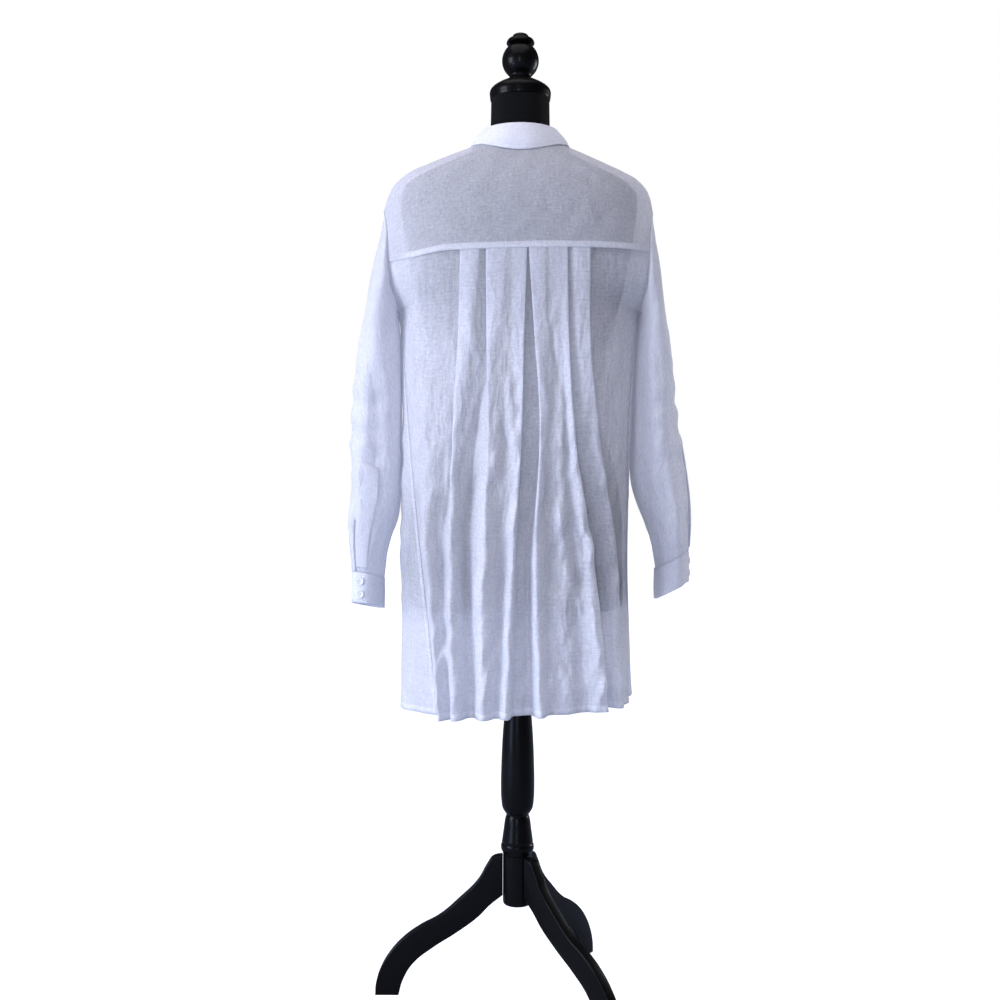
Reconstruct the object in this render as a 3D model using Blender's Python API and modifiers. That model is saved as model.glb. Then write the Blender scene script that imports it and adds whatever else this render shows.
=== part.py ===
"""White linen shirt dress on a black limbless dress form with a turned pole and a tripod.

Metres, +Z up. The pole stands on the Z axis and the floor is z = 0. The wearer's back faces +Y and
the wearer's left side is +X. Angles round the body count from the centre back towards the left side.
"""

import math
from bisect import bisect
from collections import namedtuple
from functools import cache

import bmesh
import bpy
import numpy as np

# Cloth
CLOTH = 0.0011  # wall of a single layer
CUFF_CLOTH = 0.0016  # wall of the stiffened collar and cuff pieces
SEAM = 0.0004  # clear space between neighbouring pieces
LIFT = CLOTH + 0.0006  # from a panel to a band that lies on it, middle to middle

# Garment
NECK_HALF_WIDTH = 0.066
NECK_BACK = 0.060
NECK_FRONT = 0.078
YOKE_SEAM_Z = 1.170
YOKE_FORWARD = 112.5  # degrees from the centre back where the yoke meets the front at the neck
HEM_Z = 0.466
YOKE_TILT = -0.025  # the garment hangs a little lower on its left side
HEM_TILT = -0.060
LEFT_DROOP = 0.007
BODY_POWER = 2.4
YOKE_ROWS = 7
YOKE_COLUMNS = 20
YOKE_SPACING = 1.12
YOKE_ARMHOLE_STEPS = 9
BACK_ARMHOLE_STEPS = 5
FRONT_ARMHOLE_STEPS = 6
LOWER_ROWS = 12
CHEST_DROP = 0.030  # how far the fronts' row at the underarm runs lower at the centre
LAYER_REACH = 0.0045  # how far a pleat's hidden layer runs on past the edge above it
LAYER_TURN = 0.0012
DROOP_FROM = 0.11
DROOP_TO = 0.18
FRONT_HEM_RISE = 0.010  # the fronts' hem rises to their side seams
FRONT_HEM_RISE_Z = 0.630
SIDE_REACH = 0.19  # distance of the side seams at which the rows' slope is read
ARMHOLE_Z = 1.170
ARMHOLE_HALF_HEIGHT = 0.080
ARMHOLE_HALF_ANGLE = 27.0
ARMHOLE_INSET_TURN = 500.0  # degrees round the body for each metre of inset
ARMHOLE_FRONT_TURN = -32.0  # degrees round the armhole from its top to the yoke's front corner
ARMHOLE_BACK_TURN = {1: 98.8, -1: 87.0}  # to the yoke's back corner, left and right
PLACKET_HALF_WIDTH = 0.0129
BUTTON_RADIUS = 0.0056
BUTTON_DEPTH = 0.0024
SLEEVE_MIDDLE = 0.235  # across, from the centre to the middle of a sleeve
SLEEVE_PUFF = 0.006
CUFF_DEPTH = 0.048
CUFF_MIDDLE = 0.2425  # across, from the centre to the middle of a cuff
CUFF_LAP = 0.0013  # how far a cuff's lapping ends part from its middle surface
CUFF_BUTTON_DROPS = (0.014, 0.034)
CUFF_BUTTON_TURN = 13.4  # degrees round the cuff from its slit
COLLAR_FOLD_Z = 1.3735
COLLAR_END = 166.0  # degrees from the centre back to the collar's front ends
STAND_LEAN = 0.008
STAND_LAP = 0.0011
FRONT_BUTTON_Z = 1.262
FRONT_BUTTON_PITCH = 0.118

# Form and stand
POLE_RADIUS = 0.0268
HUB_RADIUS = 0.0230
HUB_ROUND = 0.0060
HUB_TOP = 0.2250
HUB_BOTTOM = 0.1440
LEG_INNER = 0.0234
LEG_THICKNESS = 0.0170
LEG_EDGE = 0.0015
LEG_TURNS = (0.0, 131.0, 235.0)
FORM_BOTTOM = 0.6170
NECK_TOP = 1.4280

Section = namedtuple("Section", "z left right back front")
BODY = (
    Section(0.440, 0.1900, 0.1890, 0.132, 0.144),
    Section(0.550, 0.1885, 0.1810, 0.130, 0.144),
    Section(0.700, 0.1885, 0.1745, 0.128, 0.143),
    Section(0.900, 0.1870, 0.1800, 0.124, 0.143),
    Section(1.040, 0.1880, 0.1860, 0.121, 0.142),
    Section(1.090, 0.1940, 0.1930, 0.119, 0.140),
    Section(1.130, 0.2170, 0.2130, 0.118, 0.137),
    Section(1.170, 0.2260, 0.2200, 0.116, 0.131),
    Section(1.210, 0.2220, 0.2170, 0.113, 0.121),
    Section(1.250, 0.2160, 0.2110, 0.107, 0.106),
    Section(1.280, 0.2060, 0.2030, 0.099, 0.092),
    Section(1.298, 0.1920, 0.1860, 0.092, 0.082),
    Section(1.310, 0.1720, 0.1620, 0.086, 0.074),
    Section(1.325, 0.1350, 0.1290, 0.077, 0.062),
    Section(1.338, 0.1030, 0.1000, 0.067, 0.050),
    Section(1.347, 0.0800, 0.0800, 0.058, 0.040),
    Section(1.354, 0.0620, 0.0620, 0.049, 0.028),
)
FORM = (
    Section(0.6170, 0.1640, 0.1580, 0.090, 0.092),
    Section(0.6250, 0.1730, 0.1660, 0.097, 0.100),
    Section(0.6800, 0.1780, 0.1655, 0.101, 0.105),
    Section(0.7600, 0.1740, 0.1640, 0.100, 0.104),
    Section(0.8500, 0.1520, 0.1500, 0.088, 0.095),
    Section(0.9300, 0.1260, 0.1260, 0.073, 0.086),
    Section(1.0000, 0.1340, 0.1340, 0.080, 0.100),
    Section(1.0700, 0.1520, 0.1520, 0.094, 0.122),
    Section(1.1300, 0.1660, 0.1660, 0.101, 0.126),
    Section(1.1900, 0.1780, 0.1780, 0.101, 0.111),
    Section(1.2400, 0.1880, 0.1860, 0.096, 0.095),
    Section(1.2700, 0.1900, 0.1870, 0.089, 0.085),
    Section(1.2900, 0.1810, 0.1750, 0.081, 0.076),
    Section(1.3050, 0.1600, 0.1510, 0.074, 0.068),
    Section(1.3200, 0.1270, 0.1210, 0.066, 0.058),
    Section(1.3350, 0.0930, 0.0900, 0.057, 0.050),
    Section(1.3450, 0.0690, 0.0690, 0.051, 0.048),
    Section(1.3600, 0.0530, 0.0530, 0.048, 0.047),
    Section(1.3800, 0.0475, 0.0475, 0.047, 0.047),
    Section(NECK_TOP, 0.0465, 0.0465, 0.0465, 0.0465),
)

# Folds of the back: how proud the ridges and how deep the roots lie at five heights, which way the
# folded edges face (0 sideways, 90 square to the body), and their radius and half spread.
Level = namedtuple("Level", "z ridge root facing radius spread")
LEVELS = (
    Level(0.455, 0.024, -0.016, 90, 0.0075, 58),
    Level(0.700, 0.019, -0.013, 84, 0.0060, 62),
    Level(0.900, 0.008, -0.009, 40, 0.0030, 80),
    Level(1.040, 0.002, -0.006, 14, 0.0016, 88),
    Level(1.170, -0.0014, -0.0040, 0, 0.0013, 90),
)
# Each fold line from the left side to the right: +1 faces right, -1 faces left, weight scales its
# depth, and its place from the centre at the five heights.
Fold = namedtuple("Fold", "kind side weight hem hip waist chest yoke")
FOLDS = (
    Fold("soft", 0, 0.9, 0.1120, 0.1300, 0.1420, 0.1480, 0.1500),
    Fold("root", +1, 0.0, 0.1030, 0.1150, 0.0950, 0.0740, 0.0620),
    Fold("ridge", -1, 0.9, 0.0920, 0.0990, 0.1000, 0.0940, 0.0920),
    Fold("root", +1, 1.0, 0.0740, 0.0800, 0.0650, 0.0340, 0.0220),
    Fold("ridge", -1, 1.0, 0.0520, 0.0530, 0.0480, 0.0515, 0.0530),
    Fold("soft", 0, -0.2, 0.0340, 0.0260, 0.0220, 0.0180, 0.0110),
    Fold("ridge", +1, 0.9, 0.0200, 0.0110, -0.0030, -0.0060, -0.0100),
    Fold("root", -1, 1.6, 0.0060, 0.0010, 0.0070, 0.0140, 0.0150),
    Fold("root", +1, 1.6, -0.0140, -0.0110, -0.0370, -0.0370, -0.0360),
    Fold("ridge", -1, 0.9, -0.0310, -0.0230, -0.0285, -0.0200, -0.0115),
    Fold("soft", 0, -0.4, -0.0440, -0.0450, -0.0440, -0.0380, -0.0280),
    Fold("soft", 0, 0.6, -0.0720, -0.0640, -0.0580, -0.0520, -0.0480),
    Fold("soft", 0, -0.2, -0.0960, -0.0820, -0.0680, -0.0620, -0.0590),
    Fold("ridge", +1, 1.0, -0.1220, -0.1010, -0.0800, -0.0730, -0.0710),
    Fold("root", -1, 0.9, -0.1360, -0.1180, -0.0690, -0.0500, -0.0410),
    Fold("ridge", +1, 0.6, -0.1490, -0.1385, -0.1160, -0.1050, -0.1060),
    Fold("root", -1, 0.2, -0.1580, -0.1500, -0.1080, -0.0860, -0.0790),
)
Edge = namedtuple("Edge", "z left right")
BACK_EDGE = (
    Edge(0.455, 0.1210, 0.1700),
    Edge(0.560, 0.1330, 0.1710),
    Edge(0.700, 0.1500, 0.1690),
    Edge(0.900, 0.1720, 0.1700),
    Edge(1.040, 0.1850, 0.1830),
    Edge(1.090, 0.1925, 0.1915),
)

Tube = namedtuple("Tube", "z outer_left inner_left outer_right inner_right back front")
SLEEVE = (
    Tube(0.600, 0.2640, 0.2180, 0.2700, 0.2220, 0.034, -0.044),
    Tube(0.677, 0.2680, 0.2160, 0.2700, 0.2205, 0.038, -0.046),
    Tube(0.726, 0.2730, 0.2080, 0.2725, 0.2120, 0.044, -0.048),
    Tube(0.758, 0.2755, 0.1960, 0.2735, 0.2010, 0.048, -0.050),
    Tube(0.790, 0.2700, 0.1860, 0.2720, 0.1870, 0.051, -0.052),
    Tube(0.838, 0.2700, 0.1830, 0.2660, 0.1760, 0.054, -0.054),
    Tube(0.918, 0.2680, 0.1820, 0.2530, 0.1790, 0.057, -0.057),
    Tube(1.030, 0.2550, 0.1850, 0.2415, 0.1840, 0.061, -0.060),
    Tube(1.090, 0.2450, 0.1955, 0.2310, 0.1945, 0.064, -0.062),
    Tube(1.166, 0.2330, 0.1955, 0.2220, 0.1945, 0.064, -0.062),
    Tube(1.214, 0.2235, 0.1955, 0.2170, 0.1945, 0.060, -0.060),
    Tube(1.250, 0.2160, 0.1955, 0.2110, 0.1945, 0.055, -0.056),
)
# Soft folds round the sleeves: how many, how deep against the radius, and how they wind.
Wave = namedtuple("Wave", "count depth shift rise")
SLEEVE_WAVES = (Wave(3, 0.050, 1.1, 5.0), Wave(5, 0.035, -2.0, -9.0))
# The slit turns are degrees round the sleeve, from its outer side towards the back.
Cuff = namedtuple("Cuff", "side z tilt_out tilt_back slit_turn")
CUFFS = {
    "left": Cuff(1, 0.6690, 0.004, 0.006, 64.0),
    "right": Cuff(-1, 0.6950, 0.014, 0.003, -20.0),
}
SLIT_GAP_TURN = 9.0
SLIT_HEIGHT = 0.066


def clear_scene():
    for obj in list(bpy.data.objects):
        bpy.data.objects.remove(obj, do_unlink=True)
    for collection in list(bpy.data.collections):
        bpy.data.collections.remove(collection)


def make_material(name, colour, roughness, metallic=0.0):
    material = bpy.data.materials.new(name)
    material.use_nodes = True
    shader = material.node_tree.nodes["Principled BSDF"]
    shader.inputs["Base Color"].default_value = (*colour, 1.0)
    shader.inputs["Roughness"].default_value = roughness
    shader.inputs["Metallic"].default_value = metallic
    return material


def tangents_of(xs, ys):
    """Slopes at the knots that keep the curve between them from overshooting."""
    slopes = [(ys[i + 1] - ys[i]) / (xs[i + 1] - xs[i]) for i in range(len(xs) - 1)]
    inner = [2 * a * b / (a + b) if a * b > 0 else 0.0 for a, b in zip(slopes, slopes[1:])]
    return [slopes[0], *inner, slopes[-1]]


def smooth_read(xs, ys, tangents, at):
    i = min(max(bisect(xs, at) - 1, 0), len(xs) - 2)
    step = xs[i + 1] - xs[i]
    t = min(max((at - xs[i]) / step, 0.0), 1.0)
    return (
        ys[i] * (1 + 2 * t) * (1 - t) ** 2
        + ys[i + 1] * t * t * (3 - 2 * t)
        + tangents[i] * step * t * (1 - t) ** 2
        + tangents[i + 1] * step * t * t * (t - 1)
    )


@cache
def knots(rows, name):
    xs = [row.z for row in rows]
    ys = [getattr(row, name) for row in rows]
    return xs, ys, tangents_of(xs, ys)


def column(rows, name, at):
    """A table's column read at a height."""
    return smooth_read(*knots(rows, name), at)


def signed_power(value, power):
    return math.copysign(abs(value) ** power, value)


def radii(rows, z, left_side, back_side):
    across = column(rows, "left" if left_side else "right", z)
    along = column(rows, "back" if back_side else "front", z)
    return across, along


def surface(rows, turn, z):
    """A point of a body at a turn in degrees from the centre back."""
    sine = math.sin(math.radians(turn))
    cosine = math.cos(math.radians(turn))
    across, along = radii(rows, z, sine >= 0, cosine >= 0)
    power = 2 / BODY_POWER
    x = across * signed_power(sine, power)
    y = along * signed_power(cosine, power)
    return np.array([x, y, z])


def body(turn, z, out=0.0):
    """The garment's middle surface, moved out along its own normal."""
    here = surface(BODY, turn, z)
    if out == 0.0:
        return here
    around = surface(BODY, turn + 0.5, z) - surface(BODY, turn - 0.5, z)
    up = surface(BODY, turn, z + 0.001) - surface(BODY, turn, z - 0.001)
    normal = np.cross(up, around)
    return here + normal * out / np.linalg.norm(normal)


def turn_of(x, y, z):
    across, along = radii(BODY, z, x >= 0, y >= 0)
    half = BODY_POWER / 2
    return math.degrees(
        math.atan2(signed_power(x / across, half), signed_power(y / along, half))
    )


def height_at(x, y):
    """The height of the shoulder surface over a point of the plan."""
    low, high = BODY[5].z, BODY[-1].z
    for _ in range(40):
        middle = (low + high) / 2
        across, along = radii(BODY, middle, x >= 0, y >= 0)
        inside = abs(x / across) ** BODY_POWER + abs(y / along) ** BODY_POWER < 1
        low, high = (middle, high) if inside else (low, middle)
    return low


def neck_place(turn):
    """Turn and height on the body of a point of the neck seam."""
    x = NECK_HALF_WIDTH * math.sin(math.radians(turn))
    cosine = math.cos(math.radians(turn))
    y = (NECK_BACK if cosine > 0 else NECK_FRONT) * cosine
    z = height_at(x, y)
    return np.array([turn_of(x, y, z), z])


def armhole_place(side, turn, inside=0.0):
    """Turn and height on the body of a point of an armhole, from its top towards the back."""
    angle = math.radians(turn)
    around = 90.0 - (ARMHOLE_HALF_ANGLE - ARMHOLE_INSET_TURN * inside) * math.sin(angle)
    z = ARMHOLE_Z + (ARMHOLE_HALF_HEIGHT - inside) * math.cos(angle)
    return np.array([side * around, z])


def spread(start, stop, count):
    return [start + (stop - start) * i / count for i in range(count + 1)]


def yoke_turns(side):
    return spread(ARMHOLE_FRONT_TURN, ARMHOLE_BACK_TURN[side], YOKE_ARMHOLE_STEPS)


def back_turns(side):
    return spread(ARMHOLE_BACK_TURN[side], 180.0, BACK_ARMHOLE_STEPS)


def front_turns():
    return spread(ARMHOLE_FRONT_TURN, -180.0, FRONT_ARMHOLE_STEPS)


def armhole_turns(side):
    """Every armhole point that the panels share with the sleeve, once round from its lowest."""
    return [*front_turns()[::-1][:-1], *yoke_turns(side), *back_turns(side)[1:-1]]


def blend(a, b, t):
    return a + (b - a) * t


def ease(t):
    t = min(max(t, 0.0), 1.0)
    return t * t * (3 - 2 * t)


def finish(name, material, collection):
    obj = bpy.data.objects.new(name, bpy.data.meshes.new(name))
    obj.data.materials.append(material)
    collection.objects.link(obj)
    return obj


def add_cloth(name, points, material, collection, wall=CLOTH, ring=False, slit_from=None):
    """A wall of cloth through a grid of points; a ring closes across, above a slit if it has one."""
    obj = finish(name, material, collection)
    mesh = bmesh.new()
    grid = [[mesh.verts.new(point) for point in row] for row in points]
    across = len(grid[0])
    for i in range(len(grid) - 1):
        for j in range(across if ring else across - 1):
            k = (j + 1) % across
            if k == 0 and slit_from is not None and i >= slit_from:
                continue
            mesh.faces.new((grid[i][j], grid[i + 1][j], grid[i + 1][k], grid[i][k]))
    bmesh.ops.recalc_face_normals(mesh, faces=mesh.faces)
    mesh.to_mesh(obj.data)
    mesh.free()
    obj.data.shade_smooth()
    solid = obj.modifiers.new("Wall", "SOLIDIFY")
    solid.thickness = wall
    solid.offset = 0.0
    return obj


def add_turned(name, profile, steps, material, collection, place=(0, 0, 0)):
    """A turned piece from (radius, height) points that run down its outer side."""
    obj = finish(name, material, collection)
    mesh = bmesh.new()
    verts = [mesh.verts.new((radius, 0, z)) for radius, z in profile]
    for a, b in zip(verts, verts[1:]):
        mesh.edges.new((a, b))
    mesh.to_mesh(obj.data)
    mesh.free()
    screw = obj.modifiers.new("Turn", "SCREW")
    screw.steps = steps
    screw.render_steps = steps
    screw.use_merge_vertices = True
    screw.merge_threshold = 0.00005
    screw.use_smooth_shade = True
    obj.location = place
    return obj


def yoke_seam_height(x):
    droop = LEFT_DROOP * ease((x - DROOP_FROM) / (DROOP_TO - DROOP_FROM))
    return YOKE_SEAM_Z + YOKE_TILT * x - droop


def half_outline(side):
    """Inner and outer places of half the yoke's columns, from its front to the centre back."""
    turns = yoke_turns(side)
    outer = [armhole_place(side, turn) for turn in turns]
    corner = outer[-1][0]
    for t in spread(0.0, 1.0, YOKE_COLUMNS - len(turns) + 1)[1:]:
        turn = blend(corner, 0.0, t)
        z = YOKE_SEAM_Z
        for _ in range(3):
            z = yoke_seam_height(surface(BODY, turn, z)[0])
        outer.append(np.array([turn, z]))
    inner = [neck_place(side * turn) for turn in spread(YOKE_FORWARD, 0.0, YOKE_COLUMNS)]
    return list(zip(inner, outer))


def yoke(material, collection):
    rows = YOKE_ROWS
    columns = half_outline(1) + half_outline(-1)[-2::-1]
    points = []
    for i in range(rows + 1):
        t = i / rows
        line = []
        for inner, outer in columns:
            turn = blend(inner[0], outer[0], t)
            z = blend(inner[1], outer[1], t**YOKE_SPACING)
            line.append(body(turn, z))
        points.append(line)
    return add_cloth("back_yoke", points, material, collection)


def fold_chain(level_index):
    """The back's cross-section at one of the five heights, as (across, out) pairs."""
    level = LEVELS[level_index]
    field = ("hem", "hip", "waist", "chest", "yoke")[level_index]
    chain = []
    for fold in FOLDS:
        x = getattr(fold, field)
        if fold.kind == "soft":
            lift = fold.weight * (level.ridge if level.ridge > 0.003 else 0.0)
            chain.append([(x, lift)])
            continue
        proud = fold.kind == "ridge"
        opened = ease(level.facing / 90)
        weight = blend(1.0, fold.weight, opened)
        depth = (level.ridge if proud else level.root) * weight
        side = 0.0 if fold.side > 0 else 180.0
        square = 90.0 if proud else (-90.0 if fold.side > 0 else 270.0)
        angle = math.radians(blend(side, square, level.facing / 90))
        half = math.radians(level.spread)
        turns = (half, 0.0, -half) if proud else (-half, 0.0, half)
        radius = level.radius * blend(1.0, 0.4 + 0.6 * min(fold.weight, 1.0), opened)
        centre = (-x - radius * math.cos(angle), depth - radius * math.sin(angle))
        chain.append(
            [
                (
                    -(centre[0] + radius * math.cos(angle + turn)),
                    centre[1] + radius * math.sin(angle + turn),
                )
                for turn in turns
            ]
        )
    return chain


def with_bridges(chain):
    """The chain with points between the folded pleats, so that their layers stay apart."""
    left_roots, left_ridges = (1, 3), (2, 4)
    right_ridges, right_roots = (13, 15), (14, 16)
    points = [*chain[0]]
    for i in range(1, len(chain)):
        before, after = points[-1], chain[i][0]
        middle = ((before[0] + after[0]) / 2, (before[1] + after[1]) / 2)
        if i in left_roots:
            edge = chain[i + 1][1][0]
            under = edge > chain[i][1][0]
            points.append((edge + LAYER_REACH, after[1]) if under else middle)
        if i - 1 in right_roots:
            edge = chain[i - 2][1][0]
            under = edge < chain[i - 1][1][0]
            points.append((edge - LAYER_REACH, before[1]) if under else middle)
        if i in right_ridges:
            root = chain[i + 1][1][0]
            before = points[-1]
            over = before[0] > root + LAYER_TURN > after[0]
            middle = ((before[0] + after[0]) / 2, (before[1] + after[1]) / 2)
            points.append((root + LAYER_TURN, after[1]) if over else middle)
        points.extend(chain[i])
        if i in left_ridges:
            root = chain[i - 1][1][0]
            edge = chain[i][1][0]
            last, following = chain[i][2], chain[i + 1][0]
            middle = ((last[0] + following[0]) / 2, (last[1] + following[1]) / 2)
            points.append((root - LAYER_TURN, last[1]) if root < edge else middle)
    edge, root = chain[15][1][0], chain[16][1][0]
    last = points[-1]
    beyond = (last[0] - LAYER_TURN, last[1] * 0.8)
    points.append((edge - LAYER_REACH, last[1]) if edge < root else beyond)
    return points


def back_columns():
    """For each of the five heights, the whole cross-section without its two outer edges."""
    return [with_bridges(fold_chain(k)) for k in range(len(LEVELS))]


def side_seam(side, z):
    """Distance of the side seam from the centre."""
    name = "left" if side > 0 else "right"
    return min(column(BACK_EDGE, name, z), column(BODY, name, z) - 0.0002)


def hem_tilt(z):
    """How the rows slope across the back, from the yoke seam to the hem."""
    return blend(YOKE_TILT, HEM_TILT, ease((YOKE_SEAM_Z - z) / (YOKE_SEAM_Z - HEM_Z)))


def back_point(x, z, out):
    """A point of the back from its distance from the centre, moved out square to the body."""
    across, along = radii(BODY, z, x >= 0, True)
    share = min(abs(x) / across, 1.0)
    y = along * (1 - share**BODY_POWER) ** (1 / BODY_POWER)
    normal = np.array(
        [
            signed_power(x / across, BODY_POWER - 1) / across,
            (y / along) ** (BODY_POWER - 1) / along,
            0.0,
        ]
    )
    return np.array([x, y, z]) + normal * out / np.linalg.norm(normal)


def level_curve(values):
    """Values given at the five heights, as a function of the height."""
    heights = [level.z for level in LEVELS]
    tangents = tangents_of(heights, values)
    return lambda z: smooth_read(heights, values, tangents, z)


def back_rows():
    """The heights of the back's rows at the centre; the first ones end on the armhole's points."""
    upper = len(back_turns(1)) - 1
    first = [YOKE_SEAM_Z - 2 * SEAM - ARMHOLE_HALF_HEIGHT * i / upper for i in range(upper)]
    return first + spread(YOKE_SEAM_Z - ARMHOLE_HALF_HEIGHT, HEM_Z, LOWER_ROWS)


def back_panel(material, collection):
    sections = back_columns()
    count = len(sections[0])
    middle_reach = 0.09
    across = [level_curve([s[j][0] for s in sections]) for j in range(count)]
    outward = [level_curve([s[j][1] for s in sections]) for j in range(count)]
    points = []
    for i, z in enumerate(back_rows()):
        ends = {}
        for side in (1, -1):
            turns = back_turns(side)
            if i < len(turns):
                turn, height = armhole_place(side, turns[i])
                height -= 2 * SEAM * (i == 0)
                ends[side] = body(turn, height)
            else:
                height = z + hem_tilt(z) * side * SIDE_REACH
                edge = side_seam(side, height)
                ends[side] = back_point(side * edge, height, 0.0)
        line = [ends[1]]
        rows = [(ends[1][0] + across[0](z)) / 2, *[x(z) for x in across]]
        rows.append((ends[-1][0] + across[-1](z)) / 2)
        outs = [outward[0](z) * 0.6, *[d(z) for d in outward], outward[-1](z) * 0.6]
        for x, out in zip(rows, outs):
            side = 1 if x > 0 else -1
            level = z + hem_tilt(z) * x
            if i == 0:
                level = yoke_seam_height(x) - 2 * SEAM
            share = ease((abs(x) - middle_reach) / (abs(ends[side][0]) - middle_reach))
            end_level = ends[side][2] + hem_tilt(z) * (x - ends[side][0])
            if 0 < i < len(back_turns(1)):
                level = blend(level, end_level, share)
            line.append(back_point(x, level, out))
        line.append(ends[-1])
        points.append(line)
    return add_cloth("back_panel", points, material, collection)


def beside(side, place, gap):
    """A place moved towards the front along the surface by a seam's gap."""
    turn, z = place
    step = np.linalg.norm(surface(BODY, side * (turn + 0.5), z) - surface(BODY, side * (turn - 0.5), z))
    return np.array([turn + gap / step, z])


def front_outline(side):
    """The front's boundary places: its top from the centre, and its side down to the hem."""
    mirror = np.array([side, 1.0])
    neck_corner = neck_place(side * YOKE_FORWARD) * mirror
    arm_corner = armhole_place(1, ARMHOLE_FRONT_TURN)
    top = [neck_place(side * turn) * mirror for turn in spread(180.0, YOKE_FORWARD, 6)[:-1]]
    for t in spread(0.0, 1.0, YOKE_ROWS):
        turn = blend(neck_corner[0], arm_corner[0], t)
        z = blend(neck_corner[1], arm_corner[1], t**YOKE_SPACING)
        top.append(beside(side, (turn, z), 2 * SEAM))
    edge = [armhole_place(1, turn) for turn in front_turns()]
    edge[-1] = beside(side, edge[-1], 1.6 * SEAM)
    for z in back_rows()[len(back_turns(side)) :]:
        rise = FRONT_HEM_RISE * ease((FRONT_HEM_RISE_Z - z) / (FRONT_HEM_RISE_Z - HEM_Z))
        height = z + hem_tilt(z) * side * SIDE_REACH + rise
        x, y, _ = back_point(side * side_seam(side, height), height, 0.0)
        place = np.array([abs(turn_of(x, max(y, 1e-5), height)), height])
        edge.append(beside(side, place, 1.6 * SEAM))
    return top, edge


def arc_shares(points):
    lengths = np.cumsum([0.0] + [np.linalg.norm(b - a) for a, b in zip(points, points[1:])])
    return lengths / lengths[-1]


def front_points(side):
    """Points of a front, row by row from the top to the hem, from its centre to its side."""
    top_places, edge_places = front_outline(side)
    top = [body(side * turn, z) for turn, z in top_places]
    top[0] = top[0] + np.array([side * SEAM, 0.0, 0.0])
    edge = [body(side * turn, z) for turn, z in edge_places]
    edge[0] = top[-1]
    last = len(top) - 1
    shares, drops = arc_shares(top), arc_shares(edge)
    points = [top]
    under = len(front_turns()) - 1
    chest_z = ARMHOLE_Z - ARMHOLE_HALF_HEIGHT - CHEST_DROP
    centre_line = spread(top[0][2], chest_z, under)
    centre_line += spread(chest_z, HEM_Z, len(edge) - 1 - under)[1:]
    for t, end, end_place, centre_z in list(zip(drops, edge, edge_places, centre_line))[1:]:
        turns = spread(180.0, end_place[0], 24)
        even = arc_shares([surface(BODY, side * turn, (centre_z + end_place[1]) / 2) for turn in turns])
        row = []
        for k, s in enumerate(shares):
            rise = top[k][2] - blend(top[0][2], top[-1][2], s)
            z = blend(centre_z, end_place[1], s) + rise * (1 - t) ** 5
            turn = blend(top_places[k][0], float(np.interp(s, even, turns)), min(t / 0.12, 1.0))
            point = surface(BODY, side * turn, z)
            if k <= 1:
                x = side * (SEAM, PLACKET_HALF_WIDTH)[k]
                turn = abs(turn_of(x, -radii(BODY, z, side > 0, False)[1], z))
            fold = front_folds(side, s, t, point[0])
            row.append(end if k == last else body(side * turn, z, fold))
        points.append(row)
    return points


def front_folds(side, s, t, x):
    """Soft hanging folds of the front: none at its band and seams, only inward beside the sleeve."""
    flat_edge, waves_across = 0.12, 2.6
    open_depth, sleeve_depth, lift = 0.010, 0.003, 0.004
    clear = ease((s - flat_edge) / flat_edge) * ease((1.0 - s) / flat_edge)
    grow = ease((t - 0.18) / 0.75)
    beside_sleeve = ease((abs(x) - 0.12) / 0.04)
    phase = 0.7 if side > 0 else 2.1
    wave = math.sin(2 * math.pi * waves_across * s + phase + 0.5 * t)
    depth = blend(open_depth, sleeve_depth, beside_sleeve)
    return clear * grow * (depth * (wave - beside_sleeve) + lift * (1 - beside_sleeve))


def front(name, side, material, collection):
    return add_cloth(name, front_points(side), material, collection)


def button_placket(material, collection):
    left, right = front_points(1), front_points(-1)
    points = []
    for a, b in zip(left, right):
        middle = blend(a[0], b[0], 0.5)
        line = [point + np.array([0.0, -LIFT, 0.0]) for point in (a[1], middle, b[1])]
        points.append([line[0], blend(line[0], line[1], 0.5), line[1], blend(line[1], line[2], 0.5), line[2]])
    points[0] = [blend(a, b, 0.12) for a, b in zip(points[0], points[1])]
    return add_cloth("button_placket", points, material, collection)


def sleeve_ring(side, turn, z):
    """A point of the hanging sleeve's tube, kept clear of the body beside it."""
    outer = column(SLEEVE, "outer_left" if side > 0 else "outer_right", z)
    inner = column(SLEEVE, "inner_left" if side > 0 else "inner_right", z)
    back = column(SLEEVE, "back", z)
    front_side = column(SLEEVE, "front", z)
    angle = math.radians(turn)
    folds = ease((1.12 - z) / 0.2) * ease((z - 0.60) / 0.10)
    waves = [w.depth * math.sin(w.count * angle + w.shift * side + w.rise * z) for w in SLEEVE_WAVES]
    scale = 1 + folds * sum(waves)
    x = (outer + inner) / 2 + (outer - inner) / 2 * math.cos(angle) * scale
    y = (back + front_side) / 2 + (back - front_side) / 2 * math.sin(angle) * scale
    x = min(x, outer)
    across, along = radii(BODY, z, side > 0, y >= 0)
    room = CLOTH + 3 * SEAM
    if z < ARMHOLE_Z - ARMHOLE_HALF_HEIGHT + 0.01 and abs(y) < along:
        share = abs(y) / (along + room)
        x = max(x, (across + room) * (1 - share**BODY_POWER) ** (1 / BODY_POWER))
    return np.array([side * x, y, z])


def sleeve_turns(cuff):
    """Pairs of turns of the sleeve's columns, at the armhole and at the cuff, from the slit round."""
    loop = armhole_turns(cuff.side)
    first = next(i for i, turn in enumerate(loop) if turn >= cuff.slit_turn - 12.0)
    loop = loop[first:] + [turn + 360.0 for turn in loop[:first]]
    last = cuff.slit_turn + 360.0 - SLIT_GAP_TURN
    return list(zip(loop, spread(cuff.slit_turn, last, len(loop) - 1)))


def cuff_top(cuff, turn):
    angle = math.radians(turn)
    return cuff.z + cuff.tilt_out * math.cos(angle) + cuff.tilt_back * math.sin(angle)


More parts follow.
